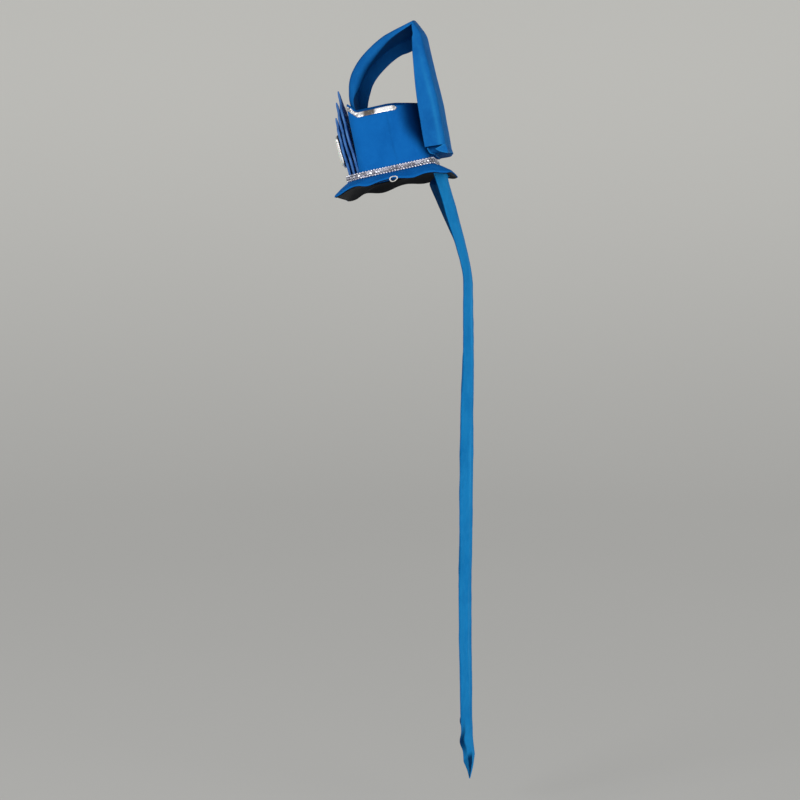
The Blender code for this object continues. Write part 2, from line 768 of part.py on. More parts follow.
def main():
    clear_scene()
    crown_cloth = make_material("crown_cloth", (0.015, 0.13, 0.46), 0.55)
    loop_cloth = make_material("loop_cloth", (0.02, 0.16, 0.5), 0.5)
    plate_cloth = make_material("plate_cloth", (0.06, 0.13, 0.42), 0.55)
    streamer_cloth = make_material("streamer_cloth", (0.025, 0.2, 0.56), 0.5)
    black_cloth = make_material("black_cloth", (0.01, 0.01, 0.012), 0.8)
    silver_foil = make_material("silver_foil", (0.8, 0.82, 0.85), 0.15, 1.0)
    silver_braid = make_material("silver_braid", (0.75, 0.75, 0.78), 0.25, 1.0)
    pale_stone = make_material("pale_stone", (0.75, 0.77, 0.72), 0.2)
    white_thread = make_material("white_thread", (0.85, 0.85, 0.83), 0.7)

    hat_frame = bpy.data.objects.new("hat_frame", None)
    bpy.context.scene.collection.objects.link(hat_frame)
    hat_frame.rotation_euler = (HAT_LEAN, 0, 0)

    build_crown(crown_cloth, hat_frame)
    build_rim_trim(silver_foil, hat_frame)
    build_loop_band(loop_cloth, hat_frame)
    for order, (name, half_width, height) in enumerate(PLATE_SIZES):
        build_plate(name, half_width, height, order, plate_cloth, hat_frame)
    build_plaque(black_cloth, silver_foil, pale_stone, hat_frame)
    build_base_trim(silver_braid, hat_frame)
    build_brim(crown_cloth, hat_frame)
    build_brim_lining(black_cloth, hat_frame)
    build_tie_loop(white_thread, hat_frame)
    build_streamers(streamer_cloth)


main()
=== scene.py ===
import math
import random

import bpy
from mathutils import Matrix, Vector, kdtree, noise


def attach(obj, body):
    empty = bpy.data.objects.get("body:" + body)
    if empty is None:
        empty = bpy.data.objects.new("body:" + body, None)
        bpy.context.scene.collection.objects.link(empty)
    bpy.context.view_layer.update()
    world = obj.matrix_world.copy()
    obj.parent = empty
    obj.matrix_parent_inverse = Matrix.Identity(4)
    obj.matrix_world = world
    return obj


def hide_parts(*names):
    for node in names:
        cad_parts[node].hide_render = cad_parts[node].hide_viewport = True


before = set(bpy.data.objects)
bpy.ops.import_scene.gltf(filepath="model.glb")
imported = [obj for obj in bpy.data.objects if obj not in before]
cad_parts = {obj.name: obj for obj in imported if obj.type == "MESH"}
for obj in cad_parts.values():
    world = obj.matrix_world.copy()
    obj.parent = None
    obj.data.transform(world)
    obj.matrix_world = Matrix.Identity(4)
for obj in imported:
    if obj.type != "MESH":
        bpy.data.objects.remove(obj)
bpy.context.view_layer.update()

# Sizes are in millimetres in the hat's own frame: x to the wearer's left, y to the back, z up from the rim.
# The hat leans forward in the world, and toWorld turns its frame and scales it to metres.
mm = 0.001
hatLean = math.radians(12)
lean = Matrix.Rotation(hatLean, 3, "X")
upright = lean.inverted()
tau = 2 * math.pi


def toWorld(x, y, z):
    return lean @ Vector((x, y, z)) * mm


def allToWorld(spots):
    return [toWorld(*spot) for spot in spots]


def mix(first, second, share):
    return first + (second - first) * share


def shares(count):
    # even steps from 0 to 1
    return [step / count for step in range(count + 1)]


def ease(value):
    held = min(max(value, 0.0), 1.0)
    return held * held * (3 - 2 * held)


def bump(value, centre, width):
    return math.exp(-((value - centre) / width) ** 2)


def wobble(point, size, seed=0.0):
    # smooth noise from -1 to 1 with lumps of about this size, the same on each run
    return noise.noise(Vector((point[0] / size + seed, point[1] / size - seed, point[2] / size + 2 * seed)))


def curveThrough(rows, share):
    # a smooth course through the rows, read at a share of the row count
    spot = min(max(share, 0.0), 1.0) * (len(rows) - 1)
    index = min(int(spot), len(rows) - 2)
    t = spot - index
    a = rows[max(index - 1, 0)]
    b = rows[index]
    c = rows[index + 1]
    d = rows[min(index + 2, len(rows) - 1)]
    return [
        0.5 * (2 * q + (r - p) * t + (2 * p - 5 * q + 4 * r - s) * t * t + (3 * q - p - 3 * r + s) * t ** 3)
        for p, q, r, s in zip(a, b, c, d)
    ]


class Wire:
    # a socket that takes part in sums
    def __init__(self, paint, socket):
        self.paint = paint
        self.socket = socket

    def sum(self, operation, *values):
        return self.paint.add("ShaderNodeMath", {"operation": operation}, values)

    def __add__(self, other):
        return self.sum("ADD", self, other)

    def __sub__(self, other):
        return self.sum("SUBTRACT", self, other)

    def __rsub__(self, other):
        return self.sum("SUBTRACT", other, self)

    def __mul__(self, other):
        return self.sum("MULTIPLY", self, other)

    __radd__ = __add__
    __rmul__ = __mul__

    def wave(self):
        return self.sum("SINE", self)

    def held(self):
        return self.paint.add("ShaderNodeClamp", {}, {"Value": self})

    def between(self, low, high):
        # 0 below low and 1 above high, with a soft way between
        return self.paint.add(
            "ShaderNodeMapRange", {"interpolation_type": "SMOOTHSTEP"},
            {"Value": self, "From Min": low, "From Max": high},
        )


class Paint:
    # one material, its nodes added by one method
    def __init__(self, name, **constants):
        self.material = bpy.data.materials.new(name)
        self.material.use_nodes = True
        self.tree = self.material.node_tree
        self.shader = self.tree.nodes["Principled BSDF"]
        for socket, value in constants.items():
            self.shader.inputs[socket.replace("_", " ")].default_value = value

    def add(self, kind, settings, values, out=0):
        node = self.tree.nodes.new(kind)
        for name, value in settings.items():
            setattr(node, name, value)
        for key, value in values.items() if isinstance(values, dict) else enumerate(values):
            socket = node.inputs[key]
            if isinstance(value, Wire):
                self.tree.links.new(value.socket, socket)
            else:
                socket.default_value = value
        return Wire(self, node.outputs[out])

    def feed(self, socket, wire):
        self.tree.links.new(wire.socket, self.shader.inputs[socket])

    def place(self):
        return self.add("ShaderNodeTexCoord", {}, {}, "Object")

    def part(self, vector, index):
        return self.add("ShaderNodeSeparateXYZ", {}, {"Vector": vector}, index)

    def threads(self, spacing):
        # a point's place across and along the threads, as angles that turn once per spacing in millimetres
        weft = self.add("ShaderNodeUVMap", {"uv_map": "UVMap"}, {})
        return self.part(weft, 0) * (tau / spacing), self.part(weft, 1) * (tau / spacing)

    def tone(self, name):
        return self.add("ShaderNodeAttribute", {"attribute_name": name}, {}, "Fac")

    def cloud(self, size, detail=3.0, roughness=0.55, stretch=None):
        # noise with lumps of this size in millimetres
        vector = self.place()
        if stretch:
            vector = self.add("ShaderNodeMapping", {}, {"Vector": vector, "Scale": stretch})
        return self.add(
            "ShaderNodeTexNoise", {},
            {"Vector": vector, "Scale": 1 / (size * mm), "Detail": detail, "Roughness": roughness},
        )

    def blend(self, share, first, second):
        return self.add("ShaderNodeMix", {"data_type": "RGBA"}, {"Factor": share, "A": first, "B": second}, 2)

    def relief(self, height, strength, distance):
        depths = {"Height": height, "Strength": strength, "Distance": distance * mm}
        self.feed("Normal", self.add("ShaderNodeBump", {}, depths))


def rgb(red, green, blue):
    return (red, green, blue, 1.0)


def clothPaint(name, deep, base, bright, crumple=0.3):
    # woven satin-faced cloth; its UV map is in millimetres, so that the threads follow the piece. Random wear
    # and the painted highlight lighten the cloth, and painted shade deepens it
    paint = Paint(
        name, Specular_IOR_Level=0.004, Sheen_Weight=0.06, Sheen_Roughness=0.35,
        Sheen_Tint=rgb(0.04, 0.35, 0.80),
    )
    across, along = paint.threads(0.75)
    threads = (across + paint.cloud(5, 2.0) * 2.0).wave() * along.wave()
    ribs = (along * 0.5 + across * 0.5).wave()
    patches = (paint.cloud(38, 3.0) * 0.7 + paint.cloud(1.4, 2.0) * 0.3).between(0.30, 0.62)
    worn = (threads * 0.5 + 0.5) * paint.cloud(9, 3.0).between(0.42, 0.7) * 0.25
    colour = paint.blend(patches, deep, base)
    colour = paint.blend((worn + paint.tone("paintedHighlight") * 0.8).held(), colour, bright)
    # the dark colour that painted shade deepens the cloth towards
    shadeColour = rgb(0.0, deep[1] * 0.10, deep[2] * 0.16)
    paint.feed("Base Color", paint.blend(paint.tone("paintedShade"), colour, shadeColour))
    paint.feed("Roughness", paint.cloud(6, 3.0) * 0.22 + 0.39)
    folds = paint.cloud(13, 2.0) * crumple + paint.cloud(4, 2.0) * (crumple * 0.35)
    paint.relief(folds + threads * 0.045 + ribs * 0.02, 0.5, 0.8)
    return paint.material


def blackPaint():
    paint = Paint("blackLining", Sheen_Weight=0.02, Specular_IOR_Level=0.15)
    across, along = paint.threads(0.9)
    dust = paint.cloud(3, 4.0).between(0.55, 0.8)
    paint.feed("Base Color", paint.blend(dust, rgb(0.004, 0.005, 0.007), rgb(0.012, 0.013, 0.018)))
    paint.feed("Roughness", paint.cloud(8) * 0.15 + 0.72)
    paint.relief(across.wave() * along.wave() * 0.08 + paint.cloud(10), 0.4, 0.6)
    return paint.material


def foilPaint():
    # thin silver foil with fine creases; painted dark reflections along its middle, painted shade near its
    # front corner and at its torn end, and a few random grey patches
    paint = Paint("silverFoil", Metallic=0.45)
    creases = paint.add(
        "ShaderNodeTexVoronoi", {"feature": "DISTANCE_TO_EDGE"}, {"Vector": paint.place(), "Scale": 260.0}
    )
    y = paint.part(paint.place(), 1)
    # painted dark reflections in a band along the strip, and painted shade near its front corner and at its
    # torn end
    darkReflection = y.between(-0.042, -0.035) * (1 - y.between(-0.024, -0.020))
    darkReflection = darkReflection * paint.cloud(3.5, 3.0).between(0.12, 0.38)
    corner = (1 - y.between(-0.046, -0.038)) * paint.cloud(3, 3.0).between(0.40, 0.56) * 0.75
    ragged = y.between(-0.001, 0.003) * paint.cloud(2.0, 3.0).between(0.34, 0.55) * 0.7
    rubAndReflection = (darkReflection + corner + ragged + paint.cloud(6, 3.0).between(0.56, 0.70) * 0.3).held()
    paint.feed("Base Color", paint.blend(rubAndReflection, rgb(0.97, 0.97, 1.0), rgb(0.085, 0.070, 0.062)))
    paint.feed("Roughness", rubAndReflection * 0.2 + paint.cloud(3) * 0.1 + 0.12)
    paint.relief(creases.between(0.0, 0.25) + paint.cloud(2.5) * 0.8, 0.12, 0.3)
    return paint.material


def metalPaint(name, bright, dull, roughness):
    paint = Paint(name, Metallic=1.0)
    tarnish = paint.cloud(4, 4.0).between(0.4, 0.7)
    paint.feed("Base Color", paint.blend(tarnish, bright, dull))
    paint.feed("Roughness", tarnish * 0.18 + paint.cloud(0.8) * 0.08 + roughness)
    paint.relief(paint.cloud(0.7, 3.0), 0.25, 0.1)
    return paint.material


def crystalPaint():
    # foil-backed glass stones; each stone has a painted glint of its own in an attribute, from dark to white
    paint = Paint("rhinestone", Metallic=0.5, Coat_Weight=0.7, Coat_Roughness=0.03)
    tone = paint.tone("stoneGlint")
    glint = paint.blend(tone, rgb(0.12, 0.11, 0.16), rgb(0.92, 0.93, 1.0))
    cloudy = paint.cloud(1.2).between(0.5, 0.75) * 0.4
    paint.feed("Base Color", paint.blend(cloudy, glint, rgb(0.30, 0.27, 0.33)))
    paint.feed("Roughness", tone * 0.08 + paint.cloud(1.5) * 0.12 + 0.04)
    return paint.material


def stonePaint():
    # pale milky stone with faint bands and a polished face
    paint = Paint(
        "paleStone", Coat_Weight=0.5, Coat_Roughness=0.05, Subsurface_Weight=0.25, Subsurface_Scale=0.004
    )
    bands = paint.cloud(14, 4.0, 0.6, (1.0, 1.0, 0.35)).between(0.35, 0.7)
    flecks = paint.cloud(2.2, 5.0).between(0.58, 0.75)
    milk = paint.blend(bands, rgb(0.60, 0.63, 0.57), rgb(0.76, 0.77, 0.72))
    paint.feed("Base Color", paint.blend(flecks * 0.5, milk, rgb(0.47, 0.50, 0.44)))
    paint.feed("Roughness", flecks * 0.2 + 0.14)
    paint.relief(paint.cloud(5), 0.15, 0.15)
    return paint.material


def threadPaint():
    paint = Paint("whiteThread", Sheen_Weight=0.3)
    lint = paint.cloud(0.9, 3.0)
    grey = lint.between(0.35, 0.7)
    paint.feed("Base Color", paint.blend(grey, rgb(0.62, 0.60, 0.56), rgb(0.86, 0.85, 0.81)))
    paint.feed("Roughness", lint * 0.2 + 0.65)
    paint.relief(lint, 0.5, 0.15)
    return paint.material


crownCloth = clothPaint(
    "crownCloth", rgb(0.004, 0.098, 0.365), rgb(0.006, 0.126, 0.435), rgb(0.012, 0.17, 0.52)
)
loopCloth = clothPaint(
    "loopCloth", rgb(0.006, 0.102, 0.350), rgb(0.008, 0.132, 0.420), rgb(0.018, 0.22, 0.52)
)
plateCloth = clothPaint(
    "plateCloth", rgb(0.026, 0.125, 0.390), rgb(0.050, 0.170, 0.480), rgb(0.17, 0.34, 0.62)
)
streamerCloth = clothPaint(
    "streamerCloth", rgb(0.007, 0.200, 0.540), rgb(0.012, 0.250, 0.620), rgb(0.04, 0.36, 0.76), crumple=0.5
)
blackLining = blackPaint()
silverFoil = foilPaint()
silverMetal = metalPaint("silverMetal", rgb(0.90, 0.90, 0.91), rgb(0.62, 0.60, 0.61), 0.30)
braidMetal = metalPaint("braidMetal", rgb(0.30, 0.29, 0.34), rgb(0.09, 0.09, 0.12), 0.25)
rhinestone = crystalPaint()
paleStone = stonePaint()
whiteThread = threadPaint()
print("materials made")


def deselectAll():
    for item in list(bpy.context.selected_objects):
        item.select_set(False)


def pickOnly(*pieces):
    deselectAll()
    for piece in pieces:
        piece.select_set(True)
    bpy.context.view_layer.objects.active = pieces[0]


def addBall(segments, rings, radius):
    # Blender makes a sphere's faces in an order that varies from run to run, so they are sorted by distance
    deselectAll()
    bpy.ops.mesh.primitive_uv_sphere_add(segments=segments, ring_count=rings, radius=radius)
    bpy.context.scene.cursor.location = (3.1, 1.7, 0.9)
    bpy.ops.object.mode_set(mode="EDIT")
    bpy.ops.mesh.select_all(action="SELECT")
    bpy.ops.mesh.sort_elements(type="CURSOR_DISTANCE", elements={"FACE"})
    bpy.ops.object.mode_set(mode="OBJECT")
    bpy.context.scene.cursor.location = (0, 0, 0)
    return bpy.context.object


def measureUv(piece, across, along):
    # gives the grid's UV map real sizes in millimetres
    points = [vertex.co for vertex in piece.data.vertices]
    columns = across + 1
    middleRow = (along // 2) * columns
    middleColumn = across // 2
    acrossAt = [0.0]
    for step in range(across):
        acrossAt.append(acrossAt[-1] + (points[middleRow + step + 1] - points[middleRow + step]).length / mm)
    alongAt = [0.0]
    for step in range(along):
        low = step * columns + middleColumn
        alongAt.append(alongAt[-1] + (points[low + columns] - points[low]).length / mm)
    layer = piece.data.uv_layers["UVMap"]
    for loop in piece.data.loops:
        column = loop.vertex_index % columns
        row = loop.vertex_index // columns
        layer.data[loop.index].uv = (acrossAt[column], alongAt[row])


def closeSkin(join):
    # closes the mesh at its seam, at its open ends or between its two skins, and turns its faces outwards
    bpy.ops.object.mode_set(mode="EDIT")
    bpy.ops.mesh.select_all(action="SELECT")
    if join == "seam":
        bpy.ops.mesh.remove_doubles(threshold=0.00002)
    else:
        bpy.ops.mesh.select_all(action="DESELECT")
        bpy.ops.mesh.select_non_manifold()
        if join == "ends":
            bpy.ops.mesh.fill_holes(sides=0)
        else:
            bpy.ops.mesh.bridge_edge_loops()
        bpy.ops.mesh.select_all(action="SELECT")
    bpy.ops.mesh.normals_make_consistent(inside=False)
    bpy.ops.object.mode_set(mode="OBJECT")


def clothGrid(name, across, along, shape, seam=False):
    # a flat grid whose points are moved to shape(share across, share along); seam joins its two sides
    deselectAll()
    bpy.ops.mesh.primitive_grid_add(x_subdivisions=across, y_subdivisions=along, size=2)
    piece = bpy.context.object
    piece.name = name
    for vertex in piece.data.vertices:
        vertex.co = shape((vertex.co.x + 1) / 2, (vertex.co.y + 1) / 2)
    measureUv(piece, across, along)
    if seam:
        closeSkin("seam")
    return piece


def sweep(name, rings, looped=False):
    # a closed skin through closed rings of points; looped rings lead back to the first one
    rings = rings + rings[:1] if looped else rings
    across = len(rings[0])
    along = len(rings) - 1

    def shape(u, v):
        return rings[round(v * along)][round(u * across) % across]

    piece = clothGrid(name, across, along, shape, seam=True)
    if not looped:
        closeSkin("ends")
    return piece


def addTone(piece, name, toneAt):
    # writes an attribute of the piece from each vertex's place in the hat's frame
    layer = piece.data.attributes.new(name, "FLOAT", "POINT")
    for vertex, value in zip(piece.data.vertices, layer.data):
        value.value = toneAt(*(upright @ vertex.co / mm))


def finish(piece, paint, slot, *nodes, angle=50):
    pickOnly(piece)
    bpy.ops.object.transform_apply(location=True, rotation=True, scale=True)
    bpy.ops.object.shade_smooth_by_angle(angle=math.radians(angle))
    piece.data.materials.clear()
    piece.data.materials.append(paint)
    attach(piece, "root")
    if nodes:
        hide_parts(*nodes)


def joinAll(pieces, name):
    pickOnly(*pieces)
    bpy.ops.object.join()
    pieces[0].name = name
    return pieces[0]


crown = {
    # plans at the base and the rim; runs shares half a plan among back, corner, side, corner and front
    "base": (72.3, -43.2, 57.3, 12.0, 10.0), "rim": (71.3, -41.4, 56.3, 12.0, 35.0),
    "height": 91.0, "wall": 2.5, "frontRise": 12.0, "frontRiseFrom": -27.0, "backDip": 6.0,
    "backDipFrom": 10.0, "panelBelowRim": 3.5, "panelThickness": 2.0, "panelDome": 1.5,
    "lip": 0.55, "rollIn": 1.3, "rollFrom": 4.5, "columns": 352, "insideRows": 26,
    "insideWallRows": 14, "runs": (0.22, 0.15, 0.28, 0.10, 0.25),
    # the puckers low at the rear: height and y of each one's start, and depth
    "puckers": ((44, 24, 0.7), (35, 31, 0.6), (24, 26, 0.5), (15, 33, 0.6)),
}


def planPoint(share, plan, inset=0.0):
    # a point on a plan with rounded corners, given as its half width, front, back, front radius and back
    # radius; share 0 to 1 is the left half from back to front, and 1 to 2 the right half
    halfWidth, front, back, frontRadius, backRadius = [
        value + way * inset for value, way in zip(plan, (-1, 1, -1, -1, -1))
    ]
    side = 1 if share <= 1 else -1
    spot = share if share <= 1 else 2 - share
    for index, run in enumerate(crown["runs"]):
        if spot <= run or index == len(crown["runs"]) - 1:
            break
        spot -= run
    t = min(spot / run, 1.0)
    quarter = math.pi / 2 * t
    if index == 0:
        x, y = (halfWidth - backRadius) * t, back
    elif index == 1:
        x = halfWidth - backRadius + backRadius * math.sin(quarter)
        y = back - backRadius + backRadius * math.cos(quarter)
    elif index == 2:
        x, y = halfWidth, mix(back - backRadius, front + frontRadius, t)
    elif index == 3:
        x = halfWidth - frontRadius + frontRadius * math.cos(quarter)
        y = front + frontRadius - frontRadius * math.sin(quarter)
    else:
        x, y = (halfWidth - frontRadius) * (1 - t), front
    return side * x, y


def backDip(y):
    return crown["backDip"] * ease((y - crown["backDipFrom"]) / (crown["base"][2] - crown["backDipFrom"]))


def rimHeight(y):
    rise = ease((crown["frontRiseFrom"] - y) / (crown["frontRiseFrom"] - crown["rim"][1]))
    return crown["height"] + crown["frontRise"] * rise - backDip(y)


def panelHeight(y):
    return crown["height"] - crown["panelBelowRim"] - backDip(y)


def wallPoint(share, inset, heightShare=None, height=None):
    # a point of the wall, at a share of its height there or at the height that a function of y gives
    low = planPoint(share, crown["base"], inset)
    high = planPoint(share, crown["rim"], inset)
    top = rimHeight(high[1])
    z = top * heightShare if height is None else height(high[1])
    rise = math.sin(math.pi / 2 * z / top)
    return mix(low[0], high[0], rise), mix(low[1], high[1], rise), z


def wallWay(spot, near):
    # the way out of the wall, from a point a little further in
    return Vector((spot[0] - near[0], spot[1] - near[1])).normalized()


def creaseAt(y, z):
    # two long upright creases on the sides
    high = bump(y, 8.4 - 0.03 * (z - 60) + 0.8 * math.sin(z / 9), 1.3) * bump(z, 62, 26)
    return high + bump(y, 9.6 + 1.2 * math.sin(z / 7), 1.3) * bump(z, 28, 15)


def crownWrinkle(x, y, z):
    # how far the wall's cloth stands out, in millimetres: creases seen on the side, puckers low at the rear
    side = ease((abs(x) - 55) / 15)
    crease = 0.5 * creaseAt(y, z)
    pucker = 0.0
    for height, y0, depth in crown["puckers"]:
        pucker += depth * bump(z - height, 0.35 * (y - y0), 2.6) * bump(y, y0 + 6, 11)
    settle = 0.45 * wobble((x, y, z), 34, 3.0) + 0.14 * wobble((x, y, z), 11, 7.0)
    foot = 0.35 * math.sin((x - y) / 3.1) * bump(z, 10, 5) * (0.5 + wobble((x, y, z), 25, 1.0))
    return side * (crease - pucker) + settle + foot


# the rows of the crown's skin: up the wall, over the lip, down behind it and in across the top panel
crownProfile = [("wall", mix(0.0008, 0.945, share)) for share in shares(29)]
crownProfile += [("wall", height) for height in (0.957, 0.968, 0.978, 0.986, 0.992)]
crownProfile += [("lip", share) for share in shares(7)[1:-1]]
crownProfile += [("inner", share) for share in shares(3)]
crownProfile += [("panel", scale) for scale in (0.985, 0.95, 0.88, 0.78, 0.66, 0.52, 0.38, 0.24, 0.10, 0.0)]
crownRows = len(crownProfile) - 1


def panelSpot(share, scale, lower):
    x, y, z = wallPoint(share, crown["wall"], height=panelHeight)
    middle = (crown["base"][1] + crown["base"][2]) / 2
    rise = crown["panelDome"] * ease((1 - scale) * 2)
    x, y = x * scale, middle + (y - middle) * scale
    sag = 0.5 * wobble((x, y, 0), 26, 5.0) + 0.25 * wobble((x, y, 0), 9, 2.0)
    edge = 0.25 * math.sin(share * 170) * bump(scale, 0.93, 0.05)
    return x, y, z + rise - lower + sag * ease((1 - scale) * 8) + edge


def crownShape(u, v):
    kind, value = crownProfile[round(v * crownRows)]
    share = (u * 2) % 2 if u < 1 else 0.0
    if kind == "wall":
        x, y, z = wallPoint(share, 0.0, value)
        out = wallWay((x, y), wallPoint(share, 1.0, value))
        push = crownWrinkle(x, y, z) * ease(z / 6) * ease((rimHeight(y) - z) / 5)
        push -= crown["rollIn"] * max(0.0, 1 - (rimHeight(y) - z) / crown["rollFrom"]) ** 2
        return toWorld(x + out.x * push, y + out.y * push, z)
    if kind == "lip":
        turn = math.pi * value
        inset = crown["rollIn"] * 0.93 + crown["lip"] * (1 - math.cos(turn))
        drop = crown["lip"] * (1 - math.sin(turn))
        x, y, z = wallPoint(share, inset, height=lambda y: rimHeight(y) - drop)
        return toWorld(x, y, z + 0.12 * wobble((x, y, z), 7, 4.0))
    if kind == "inner":
        drop = mix(crown["lip"] + 0.3, crown["panelBelowRim"] - 0.2, value)
        inset = crown["wall"] - 0.2 * (1 - value)
        x, y, z = wallPoint(share, inset, height=lambda y: rimHeight(y) - drop)
        return toWorld(x, y, mix(z, panelHeight(y), value))
    return toWorld(*panelSpot(share, value, 0))


def insideShape(u, v):
    # the inner wall from the base up, then the underside of the top panel to its middle
    share = (u * 2) % 2 if u < 1 else 0.0
    row = round(v * crown["insideRows"])
    rise = row / crown["insideWallRows"]
    if rise <= 1:
        x, y, z = wallPoint(share, crown["wall"], mix(0.0008, 0.93, rise))
        z = min(z, mix(0.08, panelHeight(y) - crown["panelThickness"], rise))
        push = 0.4 * wobble((x, y, z), 22, 8.0) * ease(row / 3)
        return toWorld(x * (1 - push / 90), y * (1 - push / 90), z)
    scale = (crown["insideRows"] - row) / (crown["insideRows"] - crown["insideWallRows"])
    return toWorld(*panelSpot(share, scale, crown["panelThickness"]))


def crownShade(x, y, z):
    # painted shade where the wall lies in shade under the board's edge and in the narrow margin over the
    # silver strip, and faint painted shade along the side creases
    start = mix(46, 20, ease(z / 62))
    rear = 0.93 * ease((y - start) / 21) * ease((abs(x) - 40) / 20)
    margin = ease((z - rimHeight(y) + 4.4) / 1.0) * mix(0.62, 0.85, ease((y + 10) / 40))
    crease = 0.13 * creaseAt(y - 1.5, z) * ease((abs(x) - 55) / 15)
    return max(rear + crease, margin if y > -30 else margin * 0.4)


def makeCrown():
    outside = clothGrid("crownCloth", crown["columns"], crownRows, crownShape, seam=True)
    inside = clothGrid("crownInside", crown["columns"], crown["insideRows"], insideShape, seam=True)
    piece = joinAll([outside, inside], "crownCloth")
    closeSkin("skins")
    addTone(piece, "paintedShade", crownShade)
    finish(piece, crownCloth, "crown_cloth", "crown")


makeCrown()
print("crown made")


strip = {
    "gap": 0.3, "thickness": 0.45, "top": 3.6, "width": 6.3, "endY": 25.0, "columns": 300, "rows": 8,
    "tornEnd": (23.6, 22.0, 24.4, 23.9, 25.2, 24.6, 23.0, 23.8, 22.4), "halvings": 24,
}


def stripLevel(v):
    return lambda y: rimHeight(y) - strip["top"] - strip["width"] * (1 - v)


def shareAt(endY, level):
    # how far along the plan the wall passes this y
    low, high = crown["runs"][0], 0.9
    for halving in range(strip["halvings"]):
        middle = (low + high) / 2
        if wallPoint(middle, 0.0, height=level)[1] > endY:
            low = middle
        else:
            high = middle
    return low


stripStarts = [
    shareAt(endY, stripLevel(row / strip["rows"])) for row, endY in enumerate(strip["tornEnd"])
]


def stripShape(u, v):
    start = stripStarts[round(v * strip["rows"])]
    share = mix(start, 2 - start, u)
    x, y, z = wallPoint(share, 0.0, height=stripLevel(v))
    out = wallWay((x, y), wallPoint(share, 1.0, height=lambda y: z))
    ragged = ease((y - strip["endY"] + 5) / 5)
    crumple = 0.2 + 0.8 * ease((-y - 14) / 14)
    puff = crumple * (1.3 * abs(wobble((x, y, z), 4.2, 11.0)) + 0.35 * abs(wobble((x, y, z), 1.9, 5.0)))
    rim = 0.35 * wobble((x * 1.3, y * 1.3, v * 3), 3.0, 2.0) * abs(v - 0.5) * 2
    curl = ragged * (0.9 + 1.2 * wobble((0, y, z), 1.6, 9.0))
    push = strip["gap"] + strip["thickness"] + puff * (1 - (2 * v - 1) ** 4) * 0.8 + max(curl, 0)
    shrink = ragged * 1.5 * wobble((y, z, x), 1.7, 3.0)
    return toWorld(x + out.x * push, y + out.y * push + shrink, z + rim + ragged * (v - 0.5) * -1.4)


def makeStrip():
    piece = clothGrid("rimStrip", strip["columns"], strip["rows"], stripShape)
    shell = piece.modifiers.new("thickness", "SOLIDIFY")
    shell.thickness = strip["thickness"] * mm
    shell.offset = -1.0
    shell.use_even_offset = True
    bpy.ops.object.modifier_apply(modifier=shell.name)
    finish(piece, silverFoil, "silver_foil", "rim_trim", angle=35)


makeStrip()
print("rim strip made")


loop = {
    "sheet": 2.0, "fold": 4.5, "hem": 5.0, "hemSwell": 0.3, "mitreReach": 34.0, "mitreStretch": 1.27,
    "rollReach": 0.72, "rollTurn": 78.0, "leftMitre": 9.0,
    "flangeSteps": 16, "foldSteps": 5, "webSteps": 26, "archSteps": 116, "boardSteps": 96,
}
archRows = (
    # y, z, half width, left flange, right flange, swell, curl of the left flange
    (-35.0, 88.6, 63.5, 5.0, 11.0, 1.0, 0.2),
    (-35.9, 102.6, 64.0, 5.5, 12.0, 1.2, 0.4),
    (-35.2, 111.5, 64.5, 8.0, 13.5, 1.4, 0.8),
    (-33.7, 119.8, 65.0, 12.0, 15.0, 1.5, 1.0),
    (-31.6, 128.0, 65.3, 15.0, 16.5, 1.5, 1.0),
    (-28.4, 136.0, 65.5, 16.0, 17.0, 1.5, 1.0),
    (-23.2, 144.2, 65.8, 16.3, 17.0, 1.5, 1.0),
    (-16.2, 152.2, 66.0, 16.0, 17.0, 1.5, 1.0),
    (-7.2, 160.0, 66.3, 15.2, 17.0, 1.5, 1.0),
    (4.6, 168.3, 66.6, 13.8, 17.0, 1.8, 1.0),
    (15.9, 175.0, 67.0, 12.2, 17.0, 2.0, 0.9),
    (28.1, 180.6, 67.3, 9.8, 17.0, 2.5, 0.8),
    (42.5, 184.9, 67.6, 7.2, 17.0, 3.0, 0.5),
    (58.0, 188.5, 67.9, 4.8, 17.0, 3.8, 0.2),
    (69.1, 191.3, 68.0, 3.4, 17.0, 4.5, 0.0),
)
boardRows = (
    (69.1, 191.3, 68.0, 3.4, 17.0, 4.5, 0.0),
    (73.7, 182.6, 68.7, 7.2, 17.0, 4.5, 0.0),
    (77.2, 173.5, 69.2, 11.8, 17.0, 4.5, 0.0),
    (77.7, 161.0, 69.6, 14.3, 17.2, 4.2, 0.0),
    (78.0, 148.0, 70.0, 16.9, 18.0, 4.0, 0.0),
    (79.3, 126.5, 70.6, 20.9, 20.9, 3.5, 0.0),
    (80.2, 103.1, 71.4, 24.4, 24.4, 3.5, 0.0),
    (80.9, 79.8, 72.2, 26.8, 26.8, 3.5, 0.0),
    (80.6, 60.0, 72.8, 27.3, 27.3, 3.5, 0.0),
    (80.2, 40.0, 73.5, 27.9, 27.9, 3.5, 0.0),
    (79.6, 22.2, 74.2, 27.6, 27.6, 3.2, 0.0),
)
boardEndRows = (
    (79.58, 21.8, 74.2, 4.7, 4.7, 3.2, 0.0),
    (79.5, 19.8, 74.2, 4.7, 4.7, 3.1, 0.0),
    (79.3, 17.6, 74.1, 4.2, 4.2, 2.7, 0.0),
    (78.8, 15.6, 73.9, 3.6, 3.6, 2.1, 0.0),
    (77.6, 13.9, 73.2, 3.2, 3.2, 1.4, 0.0),
    (75.6, 13.2, 72.2, 3.0, 3.0, 0.7, 0.0),
    (72.5, 13.1, 70.6, 3.0, 3.0, 0.2, 0.0),
    (66.5, 13.3, 69.4, 3.0, 3.0, 0.0, 0.0),
    (60.2, 13.8, 68.6, 3.0, 3.0, 0.0, 0.0),
)


